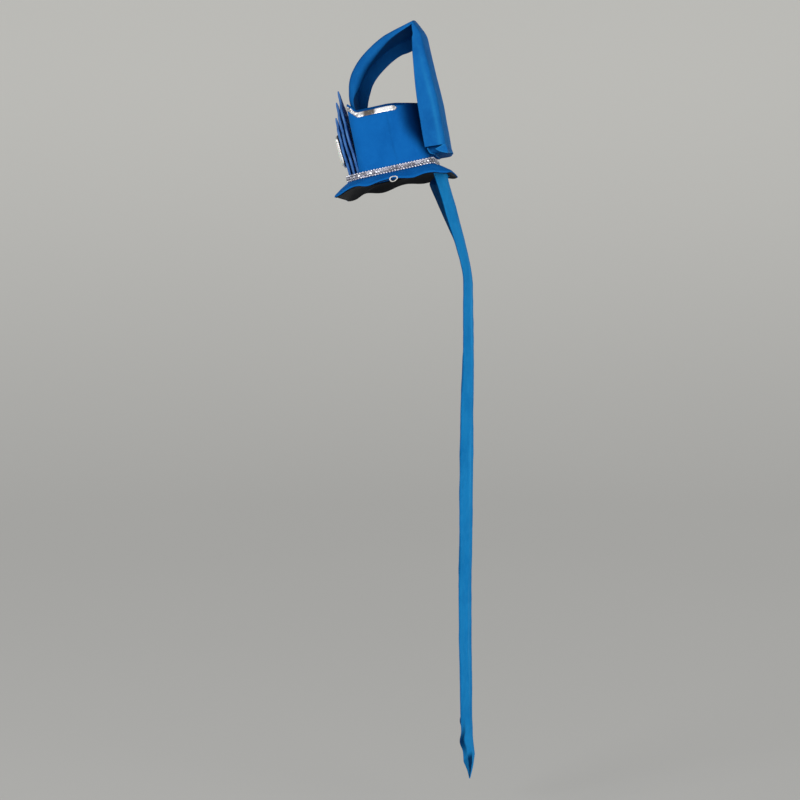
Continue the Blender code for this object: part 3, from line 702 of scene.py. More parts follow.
def rolledFlange(halfWidth, flange, fold, curl, inset, t):
    # the free edge rolls in on an arc, so that it turns from the light without an edge
    radius = max(0.1, (flange - fold) * loop["rollReach"] * curl)
    fullTurn = math.radians(loop["rollTurn"])
    flat = flange - radius * math.sin(fullTurn) - fold
    along = (flat + radius * fullTurn) * (1 - t)
    turn = max(0.0, along - flat) / radius
    depth = fold + min(along, flat) + radius * math.sin(turn)
    across = halfWidth - radius * (1 - math.cos(turn)) - inset * math.cos(turn)
    return across, depth - inset * math.sin(turn)


def hemmedFlange(halfWidth, flange, fold, inset, t):
    depth = mix(flange, fold, t)
    swell = loop["hemSwell"] * (1 if inset == 0 else -0.7)
    return halfWidth - inset + swell * ease((loop["hem"] - (flange - depth)) / 0.8), depth


def loopHalf(halfWidth, flange, curl, inset):
    # from the flange's edge over its fold: across, depth, and where the face looks (0 sideways, 1 outwards)
    fold = min(loop["fold"], flange - 0.3)
    points = []
    for step in range(loop["flangeSteps"]):
        t = step / loop["flangeSteps"]
        if curl > 0:
            points.append((*rolledFlange(halfWidth, flange, fold, curl, inset, t), 0.0))
        else:
            points.append((*hemmedFlange(halfWidth, flange, fold, inset, t), 0.0))
    radius = fold - inset
    for share in shares(loop["foldSteps"]):
        turn = math.pi / 2 * share
        points.append((halfWidth - fold + radius * math.cos(turn), fold - radius * math.sin(turn), share))
    return points


def loopFace(row, inset):
    halfWidth, left, right, swell, curl = row[2:]
    points = loopHalf(halfWidth, left, curl, inset)
    reach = points[-1][0]
    other = loopHalf(halfWidth, right, 0.0, inset)
    otherReach = other[-1][0]
    for step in range(1, loop["webSteps"]):
        across = mix(reach, -otherReach, step / loop["webSteps"])
        edge = reach if across > 0 else otherReach
        points.append((across, inset - swell * (1 - (across / edge) ** 2), 1.0))
    return points + [(-across, depth, look) for across, depth, look in reversed(other)]


def roundEdge(outer, inner, before):
    # a point that rounds the sheet's edge, beyond the middle of its two corners
    middle = (Vector(outer[:2]) + Vector(inner[:2])) / 2
    along = (Vector(outer[:2]) - Vector(before[:2])).normalized()
    return (middle.x + 0.7 * along.x, middle.y + 0.7 * along.y, 0.0)


def loopRing(row, leftWay, rightWay, travel):
    # the two ways are inward ones, longer than 1 where the sections fan out to the mitre at the peak
    outer = loopFace(row, 0.0)
    inner = loopFace(row, loop["sheet"])
    rightEdge = roundEdge(outer[-1], inner[-1], outer[-2])
    leftEdge = roundEdge(outer[0], inner[0], outer[1])
    ring = []
    for across, depth, look in outer + [rightEdge] + inner[::-1] + [leftEdge]:
        inward = rightWay.lerp(leftWay, ease(across / row[2] * 0.5 + 0.5))
        y = row[0] + inward.x * depth
        z = row[1] + inward.y * depth
        side = 1 if across > 0 else -1
        push = 0.5 * wobble((across, y, z), 30, 2.0) + 0.15 * wobble((across, y, z), 9, 6.0)
        if look < 1:
            edge = (row[3] if side > 0 else row[4]) - depth
            push += 0.12 * math.sin(travel / 2.9 + 3 * wobble((travel, side * 40, 0), 30)) * bump(edge, 3, 4)
            # a faint slanting pull near the board's lower end
            push -= 0.5 * bump(0.8 * (y - 58) + z - 24, 8, 6) * bump(z, 36, 14)
        across += side * push * math.cos(math.pi / 2 * look)
        lift = push * math.sin(math.pi / 2 * look)
        ring.append(toWorld(across, y - inward.x * lift, z - inward.y * lift))
    return ring


def courseOf(rows, steps):
    return [curveThrough(rows, share) for share in shares(steps)]


def loopRings():
    arch = courseOf(archRows, loop["archSteps"])
    board = courseOf(boardRows, loop["boardSteps"])[1:]
    rows = arch + board + list(boardEndRows)
    peak = Vector(arch[-1][:2])
    intoPeak = (peak - Vector(arch[-2][:2])).normalized()
    outOfPeak = (Vector(board[0][:2]) - peak).normalized()
    ridge = (intoPeak + outOfPeak).normalized()
    mitre = Vector((ridge.y, -ridge.x))
    rings = []
    travel = 0.0
    for index, row in enumerate(rows):
        here = Vector(row[:2])
        before = Vector(rows[max(index - 1, 0)][:2])
        after = Vector(rows[min(index + 1, len(rows) - 1)][:2])
        travel += (here - before).length
        along = (after - before).normalized()
        ways = []
        for reach in (loop["leftMitre"], loop["mitreReach"]):
            near = max(0.0, 1 - (here - peak).length / reach)
            way = Vector((along.y, -along.x)).lerp(mitre, near).normalized()
            ways.append(way * mix(1.0, loop["mitreStretch"], near))
        rings.append(loopRing(row, ways[0], ways[1], travel))
    return rings


def loopHighlight(x, y, z):
    # painted highlight along the board's folds, and painted lighter low on the flange's rear
    if y < 60 or z > 186:
        return 0.0
    top, low = boardRows[0][1], boardRows[-1][1]
    edge = curveThrough(boardRows, (top - z) / (top - low))[0]
    ridge = bump(y, edge - 7.0, 3.0) * mix(0.6, 0.15, ease((z - 90) / 70))
    return ridge * ease((abs(x) - 64) / 3) + 0.2 * ease((y - 76) / 4) * ease((150 - z) / 60)


archCourse = courseOf(archRows, 2 * loop["archSteps"])
archSpots = kdtree.KDTree(len(archCourse))
for index, spot in enumerate(archCourse):
    archSpots.insert((spot[0], spot[1], 0), index)
archSpots.balance()


def loopShade(x, y, z):
    # painted shade where the arch's near edge has rolled in, within the arch and under the board, and faintly
    # on the near flange at the arch's front
    index, depth = archSpots.find((y, z, 0))[1:]
    edge = archCourse[index][2] - 1.1
    within = 0.0
    if y < 69.5 and -edge < x < 60 and depth > (2.5 if x < -58 else 0.0) and z > 100:
        within = mix(0.28, 0.04, depth / 17)
    rolled = ease((66.8 - x) / 7.5) * ease((x - 52) / 3) * ease((62 - y) / 20)
    under = ease((16.5 - z) / 3) if y > 58 else 0.0
    arch = 0.13 * ease((50 - y) / 20) * ease((x - 60) / 3)
    return max(arch + 0.6 * rolled, within, 0.5 * under)


loopPiece = sweep("loopCloth", loopRings())
addTone(loopPiece, "paintedHighlight", loopHighlight)
addTone(loopPiece, "paintedShade", loopShade)
finish(loopPiece, loopCloth, "loop_cloth", "loop_band", angle=42)
print("loop made")


scoop = {
    "sheet": 1.3, "side": 71.4, "bulge": 0.9, "floor": 12.6, "corner": 5.5, "top": 22.0, "back": 77.5,
    "steps": 8, "rows": 18, "front": ((12.6, 61.0), (13.2, 58.6), (14.4, 56.4), (17.0, 54.9), (22.0, 53.6)),
}


def scoopFrontAt(z):
    # the y of the scoop's free front edge at this height
    for (low, lowY), (high, highY) in zip(scoop["front"], scoop["front"][1:]):
        if z <= high:
            return mix(lowY, highY, max(0.0, (z - low) / (high - low)))
    return scoop["front"][-1][1]


def scoopHalf(inset):
    # the left half of the scoop's section, from under the flange to the middle of the floor
    steps = shares(scoop["steps"])
    x, z = scoop["side"] + scoop["bulge"] - scoop["corner"], scoop["floor"] + scoop["corner"]
    radius = scoop["corner"] - inset
    points = []
    for share in steps:
        swell = scoop["bulge"] * math.sin(math.pi / 2 * share)
        points.append((scoop["side"] - inset + swell, mix(scoop["top"], z, share)))
    for share in steps[1:]:
        turn = math.pi / 2 * share
        points.append((x + radius * math.cos(turn), z - radius * math.sin(turn)))
    return points + [(x * (1 - share), scoop["floor"] + inset) for share in steps[1:]]


def scoopRings():
    outer = scoopHalf(0.0)
    inner = scoopHalf(scoop["sheet"])
    profile = outer + [(-x, z) for x, z in outer[-2::-1]]
    profile += [(-x, z) for x, z in inner] + inner[-2::-1]
    rings = []
    for share in shares(scoop["rows"]):
        ring = []
        for x, z in profile:
            y = mix(scoopFrontAt(z), scoop["back"], share)
            sag = 0.5 * wobble((x, y, z), 14, 4.0)
            lip = 0.7 * bump(share, 0.0, 0.06)
            side = 1 if x > 0 else -1
            wall = ease((z - 13) / 4)
            moved = x + side * (sag * 0.6 + lip) * wall
            ring.append(toWorld(moved, y, z - (sag + lip) * (1 - wall)))
        rings.append(ring)
    return rings


ears = {
    # the folded corners at the board's end: y and z round the left one and the right one, the middle of
    # both, and the course of their skin as a reach from the middle and a way out
    "left": (
        (64.2, 18.2), (71.5, 20.4), (79.0, 22.6), (80.3, 18.0),
        (80.6, 13.0), (80.6, 8.8), (74.0, 11.2), (68.6, 14.3),
    ),
    "right": (
        (66.0, 17.6), (72.0, 20.4), (78.6, 22.6), (79.8, 18.5),
        (79.8, 15.6), (78.6, 13.6), (74.0, 13.6), (70.0, 14.8),
    ),
    "middle": (75.4, 16.2), "x": 74.0,
    "course": (
        (0.01, 0.0), (0.55, 0.0), (0.96, 0.0), (1.0, 0.35),
        (0.97, 0.75), (0.86, 0.95), (0.5, 1.0), (0.01, 1.05),
    ),
}


def earRings(side):
    corners = [Vector(corner) for corner in ears["left" if side > 0 else "right"]]
    middle = Vector(ears["middle"])
    outline = []
    for corner, following in zip(corners, corners[1:] + corners[:1]):
        outline += [corner.lerp(following, share) for share in (0.0, 0.33, 0.67)]
    rings = []
    for reach, out in ears["course"]:
        ring = []
        for point in outline:
            spot = middle + (point - middle) * reach
            flare = 0.27 * ease((spot.x - 66) / 14)
            hang = 0.8 * ease((15 - spot.y) / 6)
            ring.append(toWorld(side * (ears["x"] + out * 0.9 + flare + hang), spot.x, spot.y))
        rings.append(ring)
    return rings


boardHem = {
    "left": 73.6, "right": -73.0, "halfWidth": 74, "leftLow": 9.2, "rightLow": 15.4, "rear": 79.5,
    "bow": 2.9, "steps": 40,
}


def hemLow(x):
    # the web's turned hem hangs lower towards the wearer's left
    return mix(boardHem["rightLow"], boardHem["leftLow"], (x / boardHem["halfWidth"] + 1) / 2)


def hemRings():
    rings = []
    for share in shares(boardHem["steps"]):
        x = mix(boardHem["left"], boardHem["right"], share)
        low = hemLow(x) + 0.3 * wobble((x, 0, 0), 14, 6.0)
        bow = boardHem["bow"] * (1 - (x / boardHem["halfWidth"]) ** 2)
        rear = boardHem["rear"] + bow + 0.2 * wobble((x, 9, 0), 16, 2.0)
        course = (
            (-0.2, 19.0), (0.5, 18.6), (0.9, low + 3.0), (1.3, low + 0.7), (1.0, low),
            (0.2, low + 0.1), (0.1, low + 3.0),
        )
        rings.append([toWorld(x, rear + out, z) for out, z in course])
    return rings


# the cut edge of the left ear, from its upper rear corner round the front to the lower one
earEdge = [Vector(ears["left"][corner]) for corner in (2, 1, 0, 7, 6, 5)]


def boardEndShade(x, y, z):
    # painted shade in the scoop behind its front edge, deepest high up under the flange
    if abs(x) > 73.3 or y > 79.2:
        return 0.0
    return mix(0.45, 0.85, ease((z - 16) / 5)) * ease((y - scoopFrontAt(z) - 0.6) / 2)


def boardEndHighlight(x, y, z):
    # painted highlights on the cut edges: the ears' rims, the scoop's front and the hem's lower edge
    if y > 79.2:
        return 0.6 * bump(z, hemLow(x) + 0.4, 0.8)
    if abs(x) < 73.3:
        return 0.8 * bump(y - scoopFrontAt(z), 0.0, 1.1)
    spot = Vector((y, z))
    reach = 9.0
    for first, last in zip(earEdge, earEdge[1:]):
        chord = last - first
        share = min(max((spot - first).dot(chord) / chord.length_squared, 0.0), 1.0)
        reach = min(reach, (spot - first.lerp(last, share)).length)
    return 0.9 * bump(reach, 0.0, 0.9)


boardEnd = joinAll([
    sweep("boardEnd", scoopRings()), sweep("boardHem", hemRings()),
    sweep("boardEar", earRings(1)), sweep("boardEar", earRings(-1)),
], "boardEnd")
addTone(boardEnd, "paintedShade", boardEndShade)
addTone(boardEnd, "paintedHighlight", boardEndHighlight)
finish(boardEnd, loopCloth, "loop_cloth", angle=42)
print("board end made")


brim = {
    "neck": (73.7, -62.0, 58.7, 30.0, 10.0), "hem": (92.3, -79.7, 79.8, 12.0, 12.0),
    "drop": 10.2, "cornerDrop": 5.2, "wave": 2.4, "waveLength": 67.0, "crest": 3.0,
    "sheet": 1.8, "collar": 1.5, "opening": 2.2, "band": 0.78, "columns": 260, "steps": 16,
    "liningGap": 0.7, "liningSheet": 1.2, "liningReach": 0.94, "liningSteps": 12,
}
leftHem = [
    # how far the hem hangs below the crown's base on the left, from front to back
    (drop,) for drop in (
        15.4, 14.4, 11.2, 8.6, 7.1, 7.6, 10.0, 10.1, 8.6, 7.5, 6.9, 6.8, 8.0, 9.4, 10.9, 11.8, 10.8, 9.8,
        9.8, 10.6, 13.0, 15.0, 15.4,
    )
]


def hemDrop(x, y):
    wave = brim["wave"] * math.cos(tau * (y - brim["crest"]) / brim["waveLength"])
    flatSide = ease((abs(x) - 60) / 30)
    end = ease((abs(y) - 52) / 26)
    corner = brim["cornerDrop"] * end * mix(0.8, 1.0, flatSide)
    front, back = brim["hem"][1:3]
    left = curveThrough(leftHem, (y - front) / (back - front))[0]
    return mix(brim["drop"] - wave * flatSide * (1 - end) + corner, left, ease((x - 72) / 18))


def skirtSpot(column, share, lower):
    # a point between the brim's neck and its hem, lowered from its upper face
    neck = planPoint(column, brim["neck"])
    hem = planPoint(column, brim["hem"])
    x, y = mix(neck[0], hem[0], share), mix(neck[1], hem[1], share)
    even = mix(0.12, 1.0 if hem[0] < 0 else 0.25, ease((abs(hem[0]) - 74) / 14))
    ripple = even * (0.8 * wobble((*hem, 0), 19, 5.0) + 0.12 * wobble((*hem, 0), 7, 9.0))
    sag = 0.45 * wobble((x, y, 0), 20, 3.0) * share
    z = -hemDrop(*hem) * share + 1.2 * math.sin(math.pi * share) + ripple * share ** 3 + sag - lower
    return x, y, z


def collarSpot(column, height):
    # a point of the brim's inner edge, just inside the crown's wall
    return (*planPoint(column, crown["base"], crown["wall"] - brim["opening"]), height)


def brimRing(column):
    steps = shares(brim["steps"])
    spots = [collarSpot(column, 0.0)]
    for share in steps:
        band = 0.35 * ease((share - brim["band"]) / 0.04)
        stitch = 0.25 * bump(share, brim["band"] + 0.045, 0.03)
        spots.append(skirtSpot(column, share, stitch - band))
    for share, lower in ((1.035, 0.25), (1.04, 0.65)):
        spots.append(skirtSpot(column, share, brim["sheet"] * lower))
    for share in reversed(steps):
        band = 0.3 * ease((share - brim["band"]) / 0.04)
        spots.append(skirtSpot(column, share, brim["sheet"] + band))
    spots.append(collarSpot(column, -brim["collar"]))
    return allToWorld(spots)


def liningRing(column):
    top = brim["sheet"] + brim["liningGap"]
    under = top + brim["liningSheet"]
    steps = [brim["liningReach"] * share for share in shares(brim["liningSteps"])]
    spots = [collarSpot(column, -top)]
    spots += [skirtSpot(column, share, top) for share in steps]
    spots.append(skirtSpot(column, brim["liningReach"] + 0.03, (top + under) / 2))
    spots += [skirtSpot(column, share, under) for share in reversed(steps)]
    spots.append(collarSpot(column, -under))
    return allToWorld(spots)


def roundPlan(name, ringAt):
    rings = [ringAt(2 * step / brim["columns"]) for step in range(brim["columns"])]
    return sweep(name, rings, looped=True)


finish(roundPlan("brimCloth", brimRing), crownCloth, "crown_cloth", "brim", angle=45)
finish(roundPlan("brimLining", liningRing), blackLining, "black_cloth", "brim_lining", angle=45)
print("brim made")


plates = {
    "thickness": 3.4, "pitch": 6.4, "lean": 3.6, "face": -60.0, "foot": 8.0, "lift": 0.3, "arcSteps": 14,
    "footWidth": 0.86,
    "arcs": ((0.80, 0.30, -0.03), (0.74, 0.62, 0.30), (0.40, 0.84, 0.26), (0.0, 1.0, -0.12)),
    "sizes": (
        ("plateFront", "plate_front", 30.0, 93.5), ("plateMiddle", "plate_middle", 38.0, 114.0),
        ("plateBack", "plate_back", 44.0, 128.5),
    ),
}
plateLean = Matrix.Rotation(math.radians(plates["lean"]), 3, "X")
plateUpright = plateLean.inverted()


def onPlate(order, x, y, z):
    # a point given across, into and up the plate of this order, counted from the front
    x, y, z = plateLean @ Vector((x, y, z))
    return toWorld(x, y + plates["face"] + plates["pitch"] * order, z + plates["lift"])


def cloudSide(halfWidth, height):
    # the left side of a plate's outline: an upright foot, then arcs between places at shares of its size
    foot = halfWidth * plates["footWidth"]
    points = [Vector((foot, plates["foot"] * step / 3)) for step in range(4)]
    start = points[-1]
    for across, up, swell in plates["arcs"]:
        end = Vector((halfWidth * across, height * up))
        chord = end - start
        outward = Vector((chord.y, -chord.x)) * swell
        for t in shares(plates["arcSteps"])[1:]:
            points.append(start + chord * t + outward * 4 * t * (1 - t))
        start = end
    return points


def flatUv(piece):
    # threads laid straight across the plate
    layer = piece.data.uv_layers["UVMap"]
    for item in piece.data.loops:
        spot = upright @ piece.data.vertices[item.vertex_index].co / mm
        layer.data[item.index].uv = (spot.x + 0.6 * spot.y, spot.z + 0.3 * spot.y)


plateCourse = (
    # inset from the outline, depth into the plate, share of the width
    (0.85, -0.25, 0.0), (0.85, -0.25, 0.3), (0.85, -0.22, 0.6), (0.85, -0.12, 0.85), (0.85, 0.0, 1.0),
    (0.5, 0.06, 1.0), (0.18, 0.3, 1.0), (0.0, 0.75, 1.0), (0.12, 1.3, 1.0), (0.12, 2.1, 1.0),
    (0.0, 2.65, 1.0), (0.18, 3.1, 1.0), (0.5, 3.34, 1.0), (0.85, 3.4, 1.0), (0.85, 3.4, 0.85),
    (0.85, 3.4, 0.6), (0.85, 3.4, 0.3), (0.85, 3.4, 0.0),
)


def plateRings(order, halfWidth, height):
    side = cloudSide(halfWidth, height)
    outline = side + [Vector((-spot.x, spot.y)) for spot in side[-2::-1]]
    middle = plates["thickness"] / 2
    rings = []
    for inset, depth, squeeze in plateCourse:
        ring = []
        for index, spot in enumerate(outline):
            along = (outline[(index + 1) % len(outline)] - outline[index - 1]).normalized()
            moved = spot + Vector((-along.y, along.x)) * inset
            least = 0.25 if abs(spot.x) > 0.01 else 0.0
            across = max(abs(moved.x) if moved.x * spot.x > 0 else 0.0, least) * squeeze
            taper = mix(0.55, 1.0, ease((height - spot.y) / 6))
            across = across if spot.x > 0 else -across
            ring.append(onPlate(order, across, middle + (depth - middle) * taper, moved.y))
        rings.append(ring)
    return rings


def plateHighlight(order):
    # painted highlight along the middle of the rounded cut edge
    def highlight(x, y, z):
        back = plates["face"] + plates["pitch"] * order
        depth = (plateUpright @ Vector((x, y - back, z - plates["lift"]))).y
        return bump(depth, 1.6, 0.8) * (0.55 + wobble((x, y, z), 7, 4.0))
    return highlight


def makeSpacer(order, halfWidth):
    # the block between this plate's foot and the next one's
    deselectAll()
    bpy.ops.mesh.primitive_cube_add(size=1)
    spacer = bpy.context.object
    width = 1.96 * halfWidth * plates["footWidth"]
    depth = plates["pitch"] - plates["thickness"] - 0.2
    height = plates["foot"] - 0.3
    for vertex in spacer.data.vertices:
        x, y, z = vertex.co.x, vertex.co.y + 0.5, vertex.co.z + 0.5
        vertex.co = onPlate(order, x * width, plates["thickness"] - 0.2 + y * depth, 0.2 + z * height)
    return spacer


for order, (name, node, halfWidth, height) in enumerate(plates["sizes"]):
    parts = [sweep(name, plateRings(order, halfWidth, height))]
    if order < 2:
        parts.append(makeSpacer(order, halfWidth))
    for part in parts:
        flatUv(part)
    piece = joinAll(parts, name) if order < 2 else parts[0]
    addTone(piece, "paintedHighlight", plateHighlight(order))
    finish(piece, plateCloth, "plate_cloth", node, angle=40)
print("plates made")


plaque = {
    "middle": 46.5, "height": 46.0, "width": 34.0, "corner": 9.0, "steps": 12,
    "backing": 0.3, "seat": 2.6, "rise": 5.4,
    # each skin's course: inset from the outline, and way forward from where it starts
    "backingCourse": (
        (2.0, 0.0), (0.35, 0.0), (0.0, 0.4), (0.0, 1.4), (0.2, 1.85), (0.7, 2.0), (4.0, 2.0),
    ),
    "bezelCourse": (
        (1.0, 0.0), (1.0, 0.35), (1.15, 0.45), (1.0, 0.6), (1.0, 1.3), (1.15, 1.7), (1.45, 2.1),
        (1.9, 2.2), (2.3, 2.05), (2.55, 1.7), (2.6, 1.2), (2.6, 0.0),
    ),
    # the stone's goes forward by shares of its rise, and its last rings are squeezed to the middle
    "stoneCourse": (
        (5.0, 0.0), (2.9, 0.0), (2.9, 0.35), (2.95, 0.5), (3.2, 0.6), (3.8, 0.71), (4.8, 0.80),
        (6.2, 0.88), (7.9, 0.94), (10.0, 0.98),
    ),
    "prongs": ((0, 21.3), (0, -21.3), (15.3, 13.0), (-15.3, 13.0), (15.3, -13.0), (-15.3, -13.0)),
}


def oblong(inset, forward, squeeze=1.0):
    # the ornament's rounded outline, drawn in, brought forward from the plate and squeezed
    corner = max(plaque["corner"] - inset, 0.5)
    halfWidth = plaque["width"] / 2 - inset - corner
    halfHeight = plaque["height"] / 2 - inset - corner
    ring = []
    for quarter, (side, up) in enumerate(((1, 1), (-1, 1), (-1, -1), (1, -1))):
        for share in shares(plaque["steps"]):
            turn = math.pi / 2 * (quarter + share)
            x = side * halfWidth + corner * math.cos(turn)
            z = up * halfHeight + corner * math.sin(turn)
            ring.append(onPlate(0, x * squeeze, -forward, plaque["middle"] + z * squeeze))
    return ring


def makeProng(x, z):
    prong = addBall(12, 8, 1)
    wide, tall = (1.1, 1.6) if x == 0 else (1.6, 1.1)
    for vertex in prong.data.vertices:
        across, forward, up = vertex.co
        vertex.co = onPlate(
            0, x + across * wide, -(plaque["seat"] + 2.0 + forward * 0.75), plaque["middle"] + z + up * tall
        )
    return prong


def makePlaque():
    backing = [oblong(inset, plaque["backing"] + out) for inset, out in plaque["backingCourse"]]
    finish(sweep("plaqueBacking", backing), blackLining, "black_cloth", "plaque_backing", angle=40)

    seat, rise = plaque["seat"], plaque["rise"]
    rings = [oblong(inset, seat + out) for inset, out in plaque["bezelCourse"]]
    bezel = sweep("plaqueBezel", rings, looped=True)
    prongs = [makeProng(x, z) for x, z in plaque["prongs"]]
    finish(joinAll([bezel, *prongs], "plaqueBezel"), silverMetal, "silver_foil", "plaque_bezel", angle=40)

    stone = [oblong(inset, seat + rise * share) for inset, share in plaque["stoneCourse"]]
    for squeeze in (0.7, 0.4, 0.12):
        stone.append(oblong(10.0, seat + rise * mix(1.0, 0.98, squeeze), squeeze))
    finish(sweep("plaqueStone", stone), paleStone, "pale_stone", "plaque_stone", angle=60)


makePlaque()
print("ornament made")


braid = {
    "plan": (72.9, -61.2, 57.9, 30.0, 10.6), "fineSteps": 2400, "low": 0.3, "high": 9.1, "count": 126,
    "stone": 1.9, "bead": 1.35, "seat": 0.9, "bandColumns": 252, "tilt": 0.22,
}


def braidCourse(count, offset=0.0):
    # points at even distances round the braid's plan, each with its way outwards
    fine = braid["fineSteps"]
    dense = [Vector(planPoint(2 * step / fine, braid["plan"])) for step in range(fine)]
    dense.append(dense[0])
    lengths = [0.0]
    for a, b in zip(dense, dense[1:]):
        lengths.append(lengths[-1] + (b - a).length)
    found = []
    index = 0
    for step in range(count):
        target = lengths[-1] * ((step + offset) % count) / count
        index = 0 if target < lengths[index] else index
        while lengths[index + 1] < target:
            index += 1
        gap = max(lengths[index + 1] - lengths[index], 1e-9)
        spot = dense[index].lerp(dense[index + 1], (target - lengths[index]) / gap)
        along = (dense[(index + 3) % fine] - dense[(index - 2) % fine]).normalized()
        outward = Vector((along.y, -along.x))
        if outward.dot(spot) < 0:
            outward = -outward
        found.append((spot, outward))
    return found


def braidMatrix(spot, outward, outset, height, spin):
    # places a stone on the braid, facing outwards, spun and a little tilted
    place = spot + outward * outset
    out = Vector((outward.x, outward.y, 0))
    up = Vector((0, 0, 1))
    basis = Matrix((up.cross(out), up, out)).transposed()
    tilt = Matrix.Rotation(braid["tilt"] * math.sin(5 * spin), 3, "X")
    tilt = tilt @ Matrix.Rotation(braid["tilt"] * math.cos(7 * spin), 3, "Y")
    turned = lean @ basis @ tilt @ Matrix.Rotation(spin, 3, "Z") * mm
    made = turned.to_4x4()
    made.translation = toWorld(place.x, place.y, height)
    return made


def addCone(vertices, low, high, depth, z):
    bpy.ops.mesh.primitive_cone_add(
        vertices=vertices, radius1=low, radius2=high, depth=depth, location=(0, 0, z)
    )
    return bpy.context.object


def joinTemplate(parts, name):
    piece = joinAll(parts, name)
    bpy.ops.object.transform_apply(location=True, rotation=True, scale=True)
    return piece


def stoneTemplate():
    deselectAll()
    top = addCone(8, braid["stone"], 0.95, 0.8, 0.85)
    low = addCone(8, braid["stone"] * 0.7, braid["stone"], 0.5, 0.2)
    return joinTemplate([top, low], "stoneTemplate")


def settingTemplate():
    deselectAll()
    parts = [addCone(12, 1.5, 1.88, 0.75, 0.1)]
    for quarter in range(4):
        turn = math.radians(45 + 90 * quarter)
        bpy.ops.mesh.primitive_cube_add(size=1, location=(1.68 * math.cos(turn), 1.68 * math.sin(turn), 0.55))
        prong = bpy.context.object
        prong.scale = (0.5, 0.42, 0.95)
        prong.rotation_euler = (0, -0.25, turn)
        parts.append(prong)
    return joinTemplate(parts, "settingTemplate")


def scatter(template, name, places, glints=None):
    # one piece of the template's copies; glints gives each copy a painted glint of its own, a little uneven
    copies = []
    for index, matrix in enumerate(places):
        data = template.data.copy() if glints else template.data
        if glints:
            tone = data.attributes.new("stoneGlint", "FLOAT", "FACE")
            for value in tone.data:
                value.value = min(max(glints[index] + 0.3 * (draw.random() - 0.5), 0.0), 1.0)
        copy = bpy.data.objects.new(name, data)
        bpy.context.collection.objects.link(copy)
        copy.matrix_world = matrix
        copies.append(copy)
    bpy.context.view_layer.update()
    bpy.data.objects.remove(template, do_unlink=True)
    return joinAll(copies, name)


draw = random.Random(20)


def bandRing(spot, outward):
    low, high = braid["low"], braid["high"]
    course = (
        (0.1, low + 0.9), (0.1, high - 0.9), (0.4, high - 0.75), (0.75, high - 0.9), (0.85, high - 1.6),
        (0.55, high - 2.4), (0.55, low + 2.4), (0.85, low + 1.6), (0.75, low + 0.9), (0.4, low + 0.75),
    )
    return [toWorld(*(spot + outward * out), height) for out, height in course]


def makeBraid():
    rings = [bandRing(spot, outward) for spot, outward in braidCourse(braid["bandColumns"])]
    band = sweep("braidBand", rings, looped=True)
    finish(band, braidMetal, "silver_braid", "base_trim", angle=40)

    seat, count = braid["seat"], braid["count"]
    middle = (braid["low"] + braid["high"]) / 2
    seats = braidCourse(count)
    stones, stoneGlints = [], []
    for spot, outward in seats:
        height = middle + draw.uniform(-0.15, 0.15)
        stones.append(braidMatrix(spot, outward, seat, height, draw.uniform(0, tau)))
        stoneGlints.append(draw.random())
    settings = [braidMatrix(spot, outward, seat, middle, 0.0) for spot, outward in seats]
    settings = scatter(settingTemplate(), "braidSettings", settings)
    beads = []
    for spot, outward in braidCourse(count, 0.5):
        for row in (braid["low"] + 1.2, braid["high"] - 1.2):
            height = row + draw.uniform(-0.12, 0.12)
            beads.append(braidMatrix(spot, outward, seat + 0.25, height, draw.uniform(0, tau)))
    beadGlints = [0.55 + 0.45 * draw.random() for bead in range(len(beads))]
    finish(settings, braidMetal, "silver_braid", "base_trim", angle=30)
    beads = scatter(addBall(8, 5, braid["bead"]), "braidBeads", beads, beadGlints)
    finish(beads, rhinestone, "silver_braid", "base_trim", angle=20)
    stones = scatter(stoneTemplate(), "braidStones", stones, stoneGlints)
    finish(stones, rhinestone, "silver_braid", "base_trim", angle=20)


makeBraid()
print("braid made")


streamer = {
    "sheet": 1.2, "halfWidth": 22.5, "point": 29.0, "cup": 1.5, "rightForward": 5.6,
    "neckForward": 11.4, "across": 16, "stepsPerRow": 14,
}
streamerRows = (
    # z, y, x, turn of its width in degrees, fall to the rear
    (3.7, 64.0, 41.0, 24.0, 0.44),
    (-8.5, 66.8, 41.0, 19.5, 0.3),
    (-35.0, 75.0, 40.5, 16.5, 0.1),
    (-64.0, 83.2, 40.0, 16.5, 0.0),
    (-91.0, 91.3, 39.5, 15.0, 0.0),
    (-120.0, 99.0, 39.0, 13.0, 0.0),
    (-147.0, 102.7, 38.7, 12.2, 0.0),
    (-203.0, 103.5, 38.2, 13.8, 0.0),
    (-259.0, 103.7, 37.8, 15.5, 0.0),
    (-314.0, 102.2, 37.5, 18.5, 0.0),
    (-380.0, 101.4, 37.2, 19.5, 0.0),
    (-446.0, 100.9, 37.0, 19.5, 0.0),
    (-520.0, 100.6, 36.8, 18.5, 0.0),
    (-592.0, 99.9, 36.6, 18.8, 0.0),
    (-665.0, 100.8, 36.5, 17.5, 0.0),
    (-735.0, 101.6, 36.4, 16.5, 0.0),
    (-762.0, 102.6, 36.4, 15.5, 0.0),
    (-777.0, 101.8, 36.4, 18.5, 0.0),
    (-790.0, 104.4, 36.4, 15.0, 0.0),
    (-806.0, 106.2, 36.4, 16.5, 0.0),
    (-820.0, 107.4, 36.4, 16.5, 0.0),
    (-834.0, 106.8, 36.4, 16.0, 0.0),
)


streamerTop, streamerLow = streamerRows[0][0], streamerRows[-1][0]


def rightAhead(z):
    # the right strip hangs further forward than the left one, most of all beside the neck
    ahead = streamer["rightForward"] + streamer["neckForward"] * ease(1 + z / 100)
    return ahead * ease((streamerTop - z) / 17)


